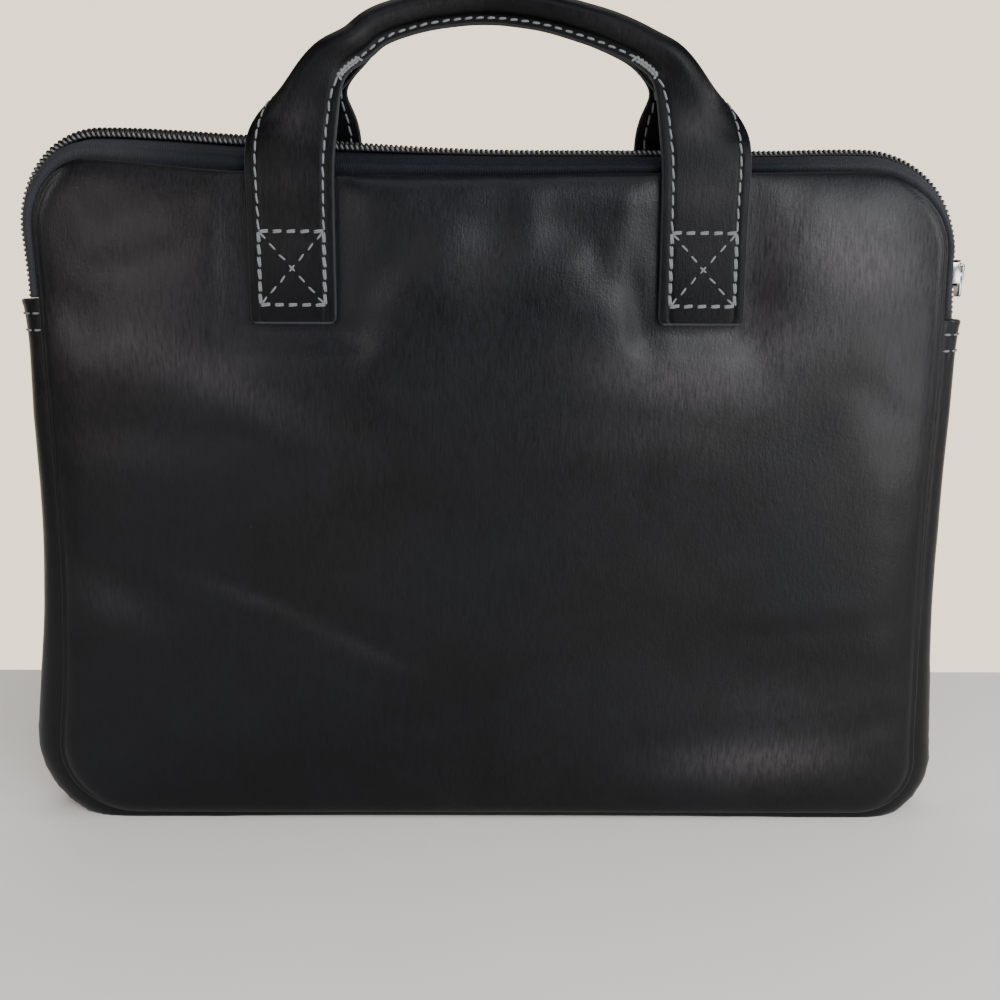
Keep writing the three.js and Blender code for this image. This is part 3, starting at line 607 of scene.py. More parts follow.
def inside_seam(x, z):
    """Distance in from the seam, in mm, of places inside it, and below zero outside."""
    seam = seam_point(np.linspace(0, SEAM_LENGTH, 720, endpoint=False))
    centre = np.array([0.0, SEAM_LIFT + HALF_HEIGHT])
    angle = np.arctan2(seam[:, 1] - centre[1], seam[:, 0])
    order = np.argsort(angle)
    reach = np.hypot(seam[:, 0], seam[:, 1] - centre[1])[order]
    here = np.interp(np.arctan2(z - centre[1], x), angle[order], reach, period=2 * math.pi)
    near = np.min(np.hypot(x.ravel()[:, None] - seam[:, 0], z.ravel()[:, None] - seam[:, 1]), axis=1)
    return np.where(np.hypot(x, z - centre[1]) < here, 1, -1) * near.reshape(x.shape)


def under_straps(x, z):
    """1 where the sewn straps hold the panel down, 0 well away from them."""
    total = np.zeros_like(x)
    for low, high in STRAPS_HOLD:
        total += smooth(low - 12, low - 2, x) * smooth(high + 12, high + 2, x)
    return total * smooth(HANDLE_FOOT - 14, HANDLE_FOOT - 3, z)


def settled_sheet(seed, side):
    """How far the padding pushes the leather out, from a cloth simulation of one panel."""
    xs = np.arange(-HALF_WIDTH - 8, HALF_WIDTH + 8, SHEET_STEP)
    zs = np.arange(SEAM_LIFT - 4, SEAM_TOP + 10, SHEET_STEP)
    x, z = np.meshgrid(xs, zs)
    sample = np.stack([x, np.full_like(x, 60.0 * side), z], -1)
    start = 0.25 * wrinkle(sample, 0.03, seed) + 0.12 * wrinkle(sample, 0.07, seed + 2)
    points = np.stack([x, start, z], -1).reshape(-1, 3) * MM
    wide, tall = len(xs), len(zs)
    faces = [
        (r * wide + c, r * wide + c + 1, (r + 1) * wide + c + 1, (r + 1) * wide + c)
        for r in range(tall - 1) for c in range(wide - 1)
    ]
    mesh = bpy.data.meshes.new("sheet")
    mesh.from_pydata(points.tolist(), [], faces)
    sheet = add_object("sheet", mesh)
    held = sheet.vertex_groups.new(name="sewn")
    hold = np.maximum(smooth(13, 6, inside_seam(x, z)), 0.9 * under_straps(x, z)).ravel()
    for index, weight in enumerate(hold):
        held.add([index], float(weight), "REPLACE")
    cloth = sheet.modifiers.new("padding", "CLOTH").settings
    for key, value in PADDING.items():
        setattr(cloth, key, value)
    cloth.effector_weights.gravity = 0
    scene = bpy.context.scene
    for number in range(1, SHEET_FRAMES + 1):
        scene.frame_set(number)
    settled = sheet.evaluated_get(bpy.context.evaluated_depsgraph_get()).to_mesh()
    moved = np.zeros(len(points) * 3, np.float32)
    settled.vertices.foreach_get("co", moved)
    push = np.abs(moved.reshape(-1, 3)[:, 1] / MM)
    bpy.data.objects.remove(sheet)
    scene.frame_set(1)
    push = SHEET_CAP * np.tanh(push / SHEET_CAP).reshape(tall, wide)

    def at(px, pz):
        c = np.clip((px - xs[0]) / SHEET_STEP, 0, wide - 1.001)
        r = np.clip((pz - zs[0]) / SHEET_STEP, 0, tall - 1.001)
        total, weights = np.zeros_like(px), np.zeros_like(px)
        for dr in (-1, 0, 1, 2):
            for dc in (-1, 0, 1, 2):
                ri, ci = np.floor(r).astype(int) + dr, np.floor(c).astype(int) + dc
                weight = np.exp(-((r - ri) ** 2 + (c - ci) ** 2) / 0.9)
                total += weight * push[np.clip(ri, 0, tall - 1), np.clip(ci, 0, wide - 1)]
                weights += weight
        return total / weights

    return at


def strap_hollows(x, z):
    """The panel sinks a little beside the sewn straps and under their feet."""
    total = np.zeros_like(x)
    beside = smooth(HANDLE_FOOT - 6, HANDLE_FOOT + 14, z)
    for edge in STRAP_EDGES:
        total += 0.75 * beside * bell((x - edge) / 4.5)
    for low, high in STRAP_TABS:
        under = smooth(low - 8, low + 2, x) * smooth(high + 8, high - 2, x)
        total += 0.7 * under * bell((z - HANDLE_FOOT + 2) / 4)
    return total


PANEL_AROUND = 400  # points of the panel's mesh along its seam
PANEL_RINGS = 60
PANEL_WALL = 5.0  # leather, padding and lining


def make_panel(name, side, dents, creases, patches, seed):
    around, rings_in = PANEL_AROUND, PANEL_RINGS
    point, out, _ = stations(np.linspace(0, SEAM_LENGTH, around, endpoint=False))
    rim = HALF_SEAM + GAP / 2
    middle = np.array([0.0, SEAM_LIFT + HALF_HEIGHT])
    upright = smooth(0.35, 0.9, np.abs(out[:, 0]))
    flat, depth, wear_and_highlight = [], [], []
    for inset, level, bead_level in SHOULDER:
        flat.append(point - out * inset)
        depth.append(mix(rim, HALF_CASE, mix(level, bead_level, upright)))
        # wear and painted highlight on the turned edge, on the upright sides only
        edge = max(0.0, 1 - abs(level - 0.15) / (BEAD / 2)) if inset < 1.3 else 0.0
        wear_and_highlight.append(edge * upright)
    inner_edge = flat[-1]
    for i in range(1, rings_in):
        share = 1 - i / rings_in
        flat.append(middle + (inner_edge - middle) * share)
        depth.append(np.full(around, HALF_CASE))
        wear_and_highlight.append(np.zeros(around))
    flat, depth, wear_and_highlight = np.array(flat), np.array(depth), np.array(wear_and_highlight)
    fade = smooth(0.35, 1.0, (depth - rim) / (HALF_CASE - rim))
    x, z = flat[..., 0], flat[..., 1]
    sample = np.stack([x, np.full_like(x, side * 40.0), z], -1)
    waves = 0.22 * wrinkle(sample, 0.022, seed) + 0.1 * wrinkle(sample, 0.06, seed + 5)
    push = settled_sheet(seed, side)(x, z) * (1 - under_straps(x, z))
    sunk = dent_depth(dents, x, z) + crease_depth(creases, x, z) + strap_hollows(x, z) + waves
    depth = depth + fade * (push - sunk)
    skin = np.stack([x, side * depth, z], -1).reshape(-1, 3)
    centre = len(skin)
    hollow = HALF_CASE - PANEL_WALL
    wall_rows = [point - out * inset for inset in (3.0, 5.0, 9.0, 13.0)]
    wall_rows += [middle + (wall_rows[-1] - middle) * share for share in (0.6, 0.25)]
    wall_depth = [rim - 0.1, rim + 0.4, hollow - 0.2] + [hollow] * 3
    wall = [np.column_stack([row[:, 0], np.full(around, side * d), row[:, 1]])
            for row, d in zip(wall_rows, wall_depth)]
    caps = [[[0, side * d, middle[1]]] for d in (depth[-1].mean(), hollow)]
    points = np.vstack([skin, caps[0], *wall, caps[1]])
    faces = []

    def band(start_a, start_b):
        for j in range(around):
            k = (j + 1) % around
            faces.append((start_a + j, start_a + k, start_b + k, start_b + j))

    rows = len(flat)
    for i in range(rows - 1):
        band(i * around, (i + 1) * around)
    last = (rows - 1) * around
    faces += [(last + j, last + (j + 1) % around, centre) for j in range(around)]
    wall_start = centre + 1
    band(wall_start, 0)
    for i in range(len(wall) - 1):
        band(wall_start + (i + 1) * around, wall_start + i * around)
    wall_last, wall_centre = wall_start + (len(wall) - 1) * around, len(points) - 1
    faces += [(wall_last + (j + 1) % around, wall_last + j, wall_centre) for j in range(around)]
    # painted highlight: how far each place of the panel is lightened by the listed patches
    painted_sheen = np.clip(dent_depth(patches, x, z), 0, 1) * fade
    rest = np.zeros(len(points) - wear_and_highlight.size)
    marks = {"wear_and_highlight": np.append(wear_and_highlight, rest), "painted_sheen": np.append(painted_sheen, rest)}
    panel = new_object(name + "_leather", points, faces, CASE_LEATHER, marks)
    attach(panel, "case")
    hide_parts(name)


GUSSET_BOW = 2.2  # 2 is a circle's bow, more is squarer


def arch(share, roundness):
    return (1 - np.abs(share) ** roundness) ** (1 / roundness)


def make_gusset():
    start = distance_left(END_HEIGHT_LEFT)
    end = SEAM_LENGTH + distance_right(END_HEIGHT_RIGHT)
    body = np.linspace(start, end, 300)
    ends = np.array([0.0, 0.12, 0.35, 0.7, 1.2, 1.9, 2.8])
    distances = np.unique(np.concatenate([start + ends, body[2:-2], end - ends]))
    point, out, crown = stations(distances)
    reach = np.minimum(distances - start, end - distances)
    lip = 0.75 * bell((reach - 1.3) / 1.3)
    tuck = 1.0 * np.clip(1 - reach / 0.6, 0, 1) ** 2
    rise = crown + END_RISE * np.clip(1 - reach / END_REACH, 0, 1) ** 2 + 0.45 * lip - tuck
    half = HALF_SEAM - GAP / 2
    outer_share = np.concatenate([[-1], -np.cos(np.linspace(0.12, math.pi - 0.12, 30)), [1]])
    inner_share = np.linspace(1, -1, 15)
    bow = arch(outer_share, GUSSET_BOW)
    over = rise[:, None] * bow
    outer = lifted(point, out, over, outer_share * half)
    bumps = 0.25 * wrinkle(outer, 0.035, 11) + 0.1 * wrinkle(outer, 0.11, 12)
    to_right = distances - SEAM_LENGTH - RUNS[0][2] - RUNS[1][2] / 2
    to_left = distances - SEAM_LENGTH + RUNS[8][2] + RUNS[7][2] / 2
    corner = bell(np.minimum(abs(to_right), abs(to_left)) / 26)[:, None]
    pucker = 0.32 * corner * np.sin(distances[:, None] * 0.95) * bow
    over = over + (bumps + pucker) * bow
    outer = lifted(point, out, over, outer_share * half)
    outer[..., 2] = np.maximum(outer[..., 2], 0.0)
    thick = GUSSET_WALL
    inner_over = (rise[:, None] - thick) * arch(inner_share, GUSSET_BOW)
    inner = lifted(point, out, inner_over, inner_share * (half - thick))
    inner[..., 2] = np.maximum(inner[..., 2], thick)
    near, near_in, far_in, far = (lifted(point, out, -SEWN_IN, y)
                                  for y in (half, half - thick, thick - half, -half))
    section = np.concatenate([outer, near, near_in, inner, far_in, far], 1)
    rows, count = section.shape[:2]
    faces = tube_faces(rows, count)
    wear_and_highlight = np.zeros(rows * count)
    gusset = new_object("gusset_leather", section.reshape(-1, 3), faces, CASE_LEATHER, {"wear_and_highlight": wear_and_highlight})
    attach(gusset, "case")
    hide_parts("gusset")
    return start, end


ZIP_FROM = distance_right(END_HEIGHT_RIGHT + GAP)
ZIP_TO = distance_left(END_HEIGHT_LEFT + GAP)


def make_tape(name, side):
    distances = np.linspace(ZIP_FROM, ZIP_TO, 330)
    point, out, crown = stations(distances)
    half = HALF_SEAM - GAP / 2
    edge = TAPE_SLOT / 2
    share = np.concatenate([[1.0, 0.997, 0.985, 0.96], np.linspace(0.92, edge / half, 24)])
    height = (crown - COIL_STACK)[:, None]
    rise = arch(share, 2.0)
    twist = side * share * half * np.sin(coil_tilt(point))[:, None] * smooth(11, 4, share * half)
    over = height * rise + twist
    swell = 1.35 * np.sin(np.pi * np.clip(rise / 0.95, 0, 1)) ** 1.3 - 0.75 * bell(rise / 0.13)
    wide = side * (share * half + swell)
    outer = lifted(point, out, over, wide)
    near_seam = smooth(0.5, 0.95, share)
    pucker = wrinkle(outer * np.array([1, 0.3, 1]), 0.16, 21 + side) * 0.4 + wrinkle(outer, 0.5, 23) * 0.12
    over = over + pucker * near_seam * (1 - smooth(0.96, 1.0, share))
    over = over + 0.12 * wrinkle(outer, 0.05, 31)
    outer = lifted(point, out, over, wide + side * 0.5 * pucker * near_seam)
    back_share = share[::-2]
    inner_over = (height - TAPE_WALL) * arch(back_share, 2.0)
    inner = lifted(point, out, inner_over, side * np.maximum(back_share * (half - TAPE_WALL), edge))
    in_low, out_low = (lifted(point, out, -SEWN_IN, side * y) for y in (half - TAPE_WALL, half))
    section = np.concatenate([outer, inner, in_low, out_low], 1)
    rows, count = section.shape[:2]
    along = np.repeat(distances[:, None], count, 1)
    across = np.concatenate([share * half, back_share * half, [half + 2, half + 3]])
    across = np.repeat(across[None, :], rows, 0)
    faces = tube_faces(rows, count)
    tape = new_object(name + "_cloth", section.reshape(-1, 3), faces, TAPE,
                      {"along": along, "across": across})
    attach(tape, "case")
    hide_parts(name)


# Repeats along a path

def repeat_tree(name):
    """A tree that sets one piece along each path at a pitch, its X along it and Z outwards."""
    tree = bpy.data.node_groups.new(name, "GeometryNodeTree")
    for label, kind in (("Geometry", "Geometry"), ("Piece", "Object"), ("Pitch", "Float"),
                        ("Skew", "Float"), ("Uneven", "Float"), ("Finish", "Material")):
        tree.interface.new_socket(label, in_out="INPUT", socket_type="NodeSocket" + kind)
    tree.interface.new_socket("Geometry", in_out="OUTPUT", socket_type="NodeSocketGeometry")
    graph = Graph(tree)
    add = graph.node

    def given(label):
        return add("NodeGroupInput", output=label)

    path = add("GeometryNodeMeshToCurve", None, {"Mesh": given("Geometry")})
    spaced = add("GeometryNodeResampleCurve", {"mode": "LENGTH"}, {"Curve": path, "Length": given("Pitch")})
    outwards = add("GeometryNodeInputNamedAttribute", {"data_type": "FLOAT_VECTOR"}, {"Name": "out"})
    along = add("FunctionNodeAlignEulerToVector", {"axis": "X"}, {"Vector": add("GeometryNodeInputTangent")})
    upright = add("FunctionNodeAlignEulerToVector", {"axis": "Z", "pivot_axis": "X"},
                  {"Rotation": along, "Vector": outwards})
    jitter = add("FunctionNodeRandomValue", {"data_type": "FLOAT"}, {2: -1.0, 3: 1.0, "Seed": 7}, 1)
    spin = add("ShaderNodeCombineXYZ", None, {"Z": jitter * given("Uneven") + given("Skew")})
    rotation = add("FunctionNodeRotateEuler", {"space": "LOCAL"}, {"Rotation": upright, "Rotate By": spin})
    source = add("GeometryNodeObjectInfo", None, {"Object": given("Piece")}, "Geometry")
    copies = add("GeometryNodeInstanceOnPoints", None,
                 {"Points": spaced, "Instance": source, "Rotation": rotation})
    real = add("GeometryNodeRealizeInstances", None, {"Geometry": copies})
    painted = add("GeometryNodeSetMaterial", None, {"Geometry": real, "Material": given("Finish")})
    graph.feed(tree.nodes.new("NodeGroupOutput").inputs[0], painted)
    return tree


REPEAT = repeat_tree("set_along_path")


def repeat(name, paths, piece, pitch, finish, skew=0.0, uneven=0.0):
    """Copies of piece along paths, each a pair of points and outward directions in mm."""
    points, edges, outs = [], [], []
    for path_points, path_out in paths:
        base = len(points)
        points += metres(path_points).tolist()
        outs += np.broadcast_to(path_out, np.shape(path_points)).tolist()
        edges += [(base + i, base + i + 1) for i in range(len(path_points) - 1)]
    mesh = bpy.data.meshes.new(name + "_path")
    mesh.from_pydata(points, edges, [])
    data = mesh.attributes.new("out", "FLOAT_VECTOR", "POINT")
    data.data.foreach_set("vector", np.asarray(outs, np.float32).ravel())
    holder = add_object(name + "_path", mesh)
    modifier = holder.modifiers.new("along", "NODES")
    modifier.node_group = REPEAT
    wanted = {"Piece": piece, "Pitch": pitch * MM, "Skew": skew, "Uneven": uneven, "Finish": finish}
    for item in REPEAT.interface.items_tree:
        if item.item_type == "SOCKET" and item.in_out == "INPUT" and item.name in wanted:
            modifier[item.identifier] = wanted[item.name]
    bpy.context.view_layer.update()
    graph = bpy.context.evaluated_depsgraph_get()
    made = bpy.data.meshes.new_from_object(holder.evaluated_get(graph))
    made.name = name
    holder.modifiers.clear()
    bpy.data.objects.remove(holder)
    smooth_faces(made)
    return add_object(name, made)


def bent_rod(profile, sides, radius, flat=1.0, edgewise=(1, 0, 0)):
    """Points and faces of a closed rod through points, flat times as thick one way."""
    centre = np.array(profile, float)
    rows = len(centre)
    along = np.gradient(centre, axis=0)
    side = np.cross(along, edgewise)
    side /= np.linalg.norm(side, axis=1, keepdims=True)
    cross = np.cross(along, side)
    cross /= np.linalg.norm(cross, axis=1, keepdims=True)
    radii = np.broadcast_to(radius, (rows,))
    angles = np.linspace(0, 2 * math.pi, sides, endpoint=False)
    points = [
        centre[i] + radii[i] * (math.cos(a) * side[i] + math.sin(a) * flat * cross[i])
        for i in range(rows) for a in angles
    ]
    return points, tube_faces(rows, sides)


def source(name, rods, key, values):
    """One piece for repeats, made of rods, with one attribute: a value a rod, or one a point."""
    points, faces, marks = [], [], []
    for (rod_points, rod_faces), value in zip(rods, values):
        faces += [tuple(i + len(points) for i in face) for face in rod_faces]
        points += [tuple(p * MM) for p in rod_points]
        marks += np.broadcast_to(value, len(rod_points)).tolist()
    mesh = bpy.data.meshes.new(name)
    mesh.from_pydata(points, [], faces)
    mark(mesh, key, marks)
    face_out(mesh)
    return bpy.data.objects.new(name, mesh)


# Zip

TOOTH_PITCH = 2.0
TOOTH_WIRE = 0.4
COIL_RAISE = 1.3  # keeps the coil clear of the tapes where it leans
TWIST = 34  # degrees that the coil leans at most
TWIST_TURN = 122  # where it does, in degrees from the panel's middle
TWIST_REACH = 21


def coil_tilt(point):
    """How far the coil leans to the front, where the left top corner has twisted it."""
    return np.radians(TWIST) * bell((bearing(point) - TWIST_TURN) / TWIST_REACH)


def coil_points(distances, across, up):
    """Points about the coil's base line: distance across the zip and up from the tapes."""
    point, out, crown = stations(distances)
    tilt = coil_tilt(point)[:, None]
    over = (crown - COIL_HEIGHT)[:, None] + up * np.cos(tilt) + (across + COIL_RAISE) * np.sin(tilt)
    return lifted(point, out, over, across * np.cos(tilt) - up * np.sin(tilt))


def make_coil():
    distances = np.linspace(ZIP_FROM + 0.5, ZIP_TO - 0.5, 420)
    half = COIL_WIDTH / 2
    share = np.array([-0.94, -0.86, -0.7, -0.35, 0, 0.35, 0.7, 0.86, 0.94, 0.9, -0.9])
    up = np.array([0.05, 0.35, 0.56, 0.66, 0.66, 0.66, 0.56, 0.35, 0.05, -0.3, -0.3])
    section = coil_points(distances, half * share, COIL_HEIGHT * up)
    rows, count = section.shape[:2]
    core = new_object("zip_coil_core", section.reshape(-1, 3), tube_faces(rows, count), NYLON,
                      {"painted_tooth_highlight": np.zeros(rows * count)})
    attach(core, "case")
    reach, top = half - TOOTH_WIRE, COIL_HEIGHT - TOOTH_WIRE
    for side, name in ((-1, "zip_teeth_front"), (1, "zip_teeth_back")):
        lean = 0.5
        profile = [
            (-lean, side * (reach - 0.1), -0.1), (-0.8 * lean, side * (reach + 0.12), 0.45),
            (-0.35 * lean, side * (reach + 0.05), 0.95), (0.25 * lean, side * (reach - 0.25), 1.45),
            (0.6 * lean, side * (reach - 0.75), top - 0.05), (0.9 * lean, side * reach * 0.45, top + 0.02),
            (lean, side * reach * 0.12, top - 0.05), (lean, -side * reach * 0.12, top - 0.5),
        ]
        # painted highlight along the tooth's front, lower middle
        painted_tooth_highlight = np.repeat([0.0, 0.3, 1.0, 0.9, 0.2, 0.0, 0.0, 0.0], 8)
        tooth = source(name + "_tooth", [bent_rod(profile, 8, TOOTH_WIRE, 1.15)], "painted_tooth_highlight", [painted_tooth_highlight])
        offset = 0 if side < 0 else TOOTH_PITCH / 2
        ticks = np.linspace(ZIP_FROM + 1.2 + offset, ZIP_TO - 1.2, 420)
        path_point, path_out, _ = stations(ticks)
        path = coil_points(ticks, 0.0, 0.0)[:, 0]
        tilt = coil_tilt(path_point)
        upright = path_out * np.cos(tilt)[:, None]
        outward = np.column_stack([upright[:, 0], -np.sin(tilt), upright[:, 1]])
        teeth = repeat(name, [(path, outward)], tooth, TOOTH_PITCH, NYLON)
        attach(teeth, "case")
        if side < 0:
            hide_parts("zip_coil")


def soften_metal(node, bevel):
    """A CAD piece of the zip with rounded edges."""
    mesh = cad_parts[node].data.copy()
    work = bmesh.new()
    work.from_mesh(mesh)
    bmesh.ops.remove_doubles(work, verts=work.verts, dist=1e-6)
    bmesh.ops.dissolve_limit(work, angle_limit=0.03, verts=work.verts, edges=work.edges)
    work.to_mesh(mesh)
    work.free()
    mesh.materials.clear()
    mesh.materials.append(CHROME)
    piece = add_object(node + "_chrome", mesh)
    rounding = piece.modifiers.new("edges", "BEVEL")
    rounding.width = bevel * MM
    rounding.segments = 3
    rounding.limit_method = "ANGLE"
    rounding.angle_limit = math.radians(35)
    graph = bpy.context.evaluated_depsgraph_get()
    rounded = bpy.data.meshes.new_from_object(piece.evaluated_get(graph))
    piece.modifiers.clear()
    piece.data = rounded
    smooth_faces(rounded)
    rounded.set_sharp_from_angle(angle=math.radians(50))
    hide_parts(node)
    return piece


# Handles

def closing_tilt(width, radius):
    """Tilt of the folded strap's layers at which their edges just meet."""
    low, high = 0.0, math.pi / 3
    for _ in range(40):
        tilt = (low + high) / 2
        side = width / 2 - FLANGE - radius * (math.pi / 2 + tilt)
        between = 2 * radius * math.cos(tilt) - 2 * side * math.sin(tilt)
        if between > ROLL_WALL + GAP:
            low = tilt
        else:
            high = tilt
    return low, width / 2 - radius * (math.pi / 2 + low)


ACROSS_STRAP = 64  # points across the strap
FOLD_STEPS = 8  # finer steps between two of them
FOLD_SOFTEN = 17  # fine steps over which a bend is rounded


def strap_section(fold, round_share, swell):
    """Middle line of the strap's section: place, heading and distance along it, and thickness."""
    closed_width = mix(PRESS_WIDTH, ROLL_WIDTH, round_share)
    radius = mix(PRESS_RADIUS, TUBE_RADIUS, round_share)
    tilt, start = closing_tilt(closed_width, radius)
    tilt *= fold
    width = mix(STRAP_WIDTH + swell, closed_width, smooth(0.1, 1, fold))
    thick = mix(STRAP_WALL, ROLL_WALL, fold)
    fine = FOLD_STEPS
    steps = ACROSS_STRAP * fine
    s = (np.arange(steps) + 0.5) * width / steps
    turned = np.minimum(-tilt + np.maximum(0, s - start) * fold / radius, math.pi + tilt)
    closing = smooth(0.9, 1.0, fold)
    back = turned + (math.pi - turned) * closing
    heading = np.where(s < FLANGE, 0, np.where(s > width - FLANGE, back, turned))
    heading = np.pad(heading, FOLD_SOFTEN // 2, "edge")
    heading = np.convolve(heading, np.ones(FOLD_SOFTEN) / FOLD_SOFTEN, "valid")
    step = width / steps
    w, d = running(np.cos(heading) * step)[::fine], running(np.sin(heading) * step)[::fine]
    at = np.append(heading, heading[-1])[::fine]
    return w, d, at, np.linspace(0, width, ACROSS_STRAP + 1), thick


def handle_frames(form, span, rise, share):
    """Places along a handle: edge point, outward direction, plane, fold and roundness."""
    rows = [(i, *row) for i, row in enumerate(form)]
    across, up, lean, fold, round_share = (curve(rows, c) for c in range(1, 6))
    last = len(rows) - 1

    def edge(s):
        place = (1 - np.abs(s)) * last
        high = up(place)
        sway = ARCH_SWAY * smooth(SWAY_FROM, SWAY_TO, high)
        return np.stack([HANDLE_SHIFT + sway + np.sign(s) * across(place) * span / 2,
                         HANDLE_FOOT + high * rise], -1)

    along = edge(np.minimum(1, share + 0.01)) - edge(np.maximum(-1, share - 0.01))
    along /= np.linalg.norm(along, axis=1, keepdims=True)
    out = np.stack([-along[:, 1], along[:, 0]], -1)
    place = (1 - np.abs(share)) * last
    leg = HALF_CASE + GAP + STRAP_WALL / 2
    plane = mix(leg, ARCH_PLANE, lean(place))
    return edge(share), out, plane, np.clip(fold(place), 0, 1), np.clip(round_share(place), 0, 1)


STITCH_INSET_LEG = 3.6
STITCH_INSET_ARCH = 1.5
EDGE_POINTS = 5
EDGE_BULGE = 0.7
EDGE_WEAR_AND_HIGHLIGHT = 0.35  # how far the cut edges, and a tab's foot below, are painted pale, partly as wear and partly as a painted highlight
FOOT_WEAR_AND_HIGHLIGHT = 0.6
FORM_SOFTEN = 3  # rows over which the strap's folding is evened, and then its skin
SKIN_SOFTEN = 2.2
TAB_KEPT = (22, 34)  # distances from the foot between which the skin's evening sets in
FOOT_RADIUS = 3.2
FOOT_SIZES = [0.0, 0.25, 0.6, 1.1, 1.8, 2.5, 3.3, 5.0]  # closer rows at a tab's rounded foot
HANDLE_STEP = 1.0
# Creases of the straps: leg, height, slope across, half width and depth in mm
STRAP_CREASES = [
    (-1, 257.5, 0.02, 1.3, 0.16), (-1, 253.5, -0.03, 1.4, 0.22), (-1, 283, 0.35, 2.6, 0.25),
    (1, 272, 0.05, 1.2, 0.2), (1, 268.5, -0.04, 1.1, 0.17), (1, 263, 0.03, 1.3, 0.24),
    (1, 258.5, -0.02, 1.2, 0.18), (1, 277.5, 0.12, 1.4, 0.2), (1, 288, -0.55, 2.4, 0.45),
]
# Places of painted highlight on the straps, where their colour is lightened to show sheen: leg, height,
# place across as a share, reach up and across, how pale
STRAP_PAINTED_SHEEN = [
    (-1, 287, 0.45, 9, 0.3, 0.28), (-1, 265, 0.5, 7, 0.4, 0.12), (-1, 243, 0.5, 16, 0.5, 0.12),
    (1, 285, 0.4, 7, 0.22, 0.4), (1, 297, 0.62, 7, 0.1, 0.4), (1, 262, 0.5, 8, 0.45, 0.22),
    (1, 243, 0.5, 16, 0.5, 0.12), (-1, 318, 0.25, 9, 0.12, 0.16), (1, 314, 0.25, 8, 0.12, 0.14),
]
BOX_TOP = 246.5
BOX_FOOT = 218.5
STITCH_PITCH = 4.9
ARCH_PITCH = 4.25
BOX_PITCH = 4.6
CROSS_PITCH = 4.8
THREAD_RADIUS = 0.4
FOLD_END = 0.985


def along_filter(values, spread):
    """Values smoothed along their first axis, with both ends kept."""
    reach = int(3 * spread)
    kernel = np.exp(-0.5 * (np.arange(-reach, reach + 1) / spread) ** 2)
    kernel /= kernel.sum()
    head = 2 * values[:1] - values[reach:0:-1]
    tail = 2 * values[-1:] - values[-2:-reach - 2:-1]
    long = np.concatenate([head, values, tail])
    return sum(k * long[i:i + len(values)] for i, k in enumerate(kernel))


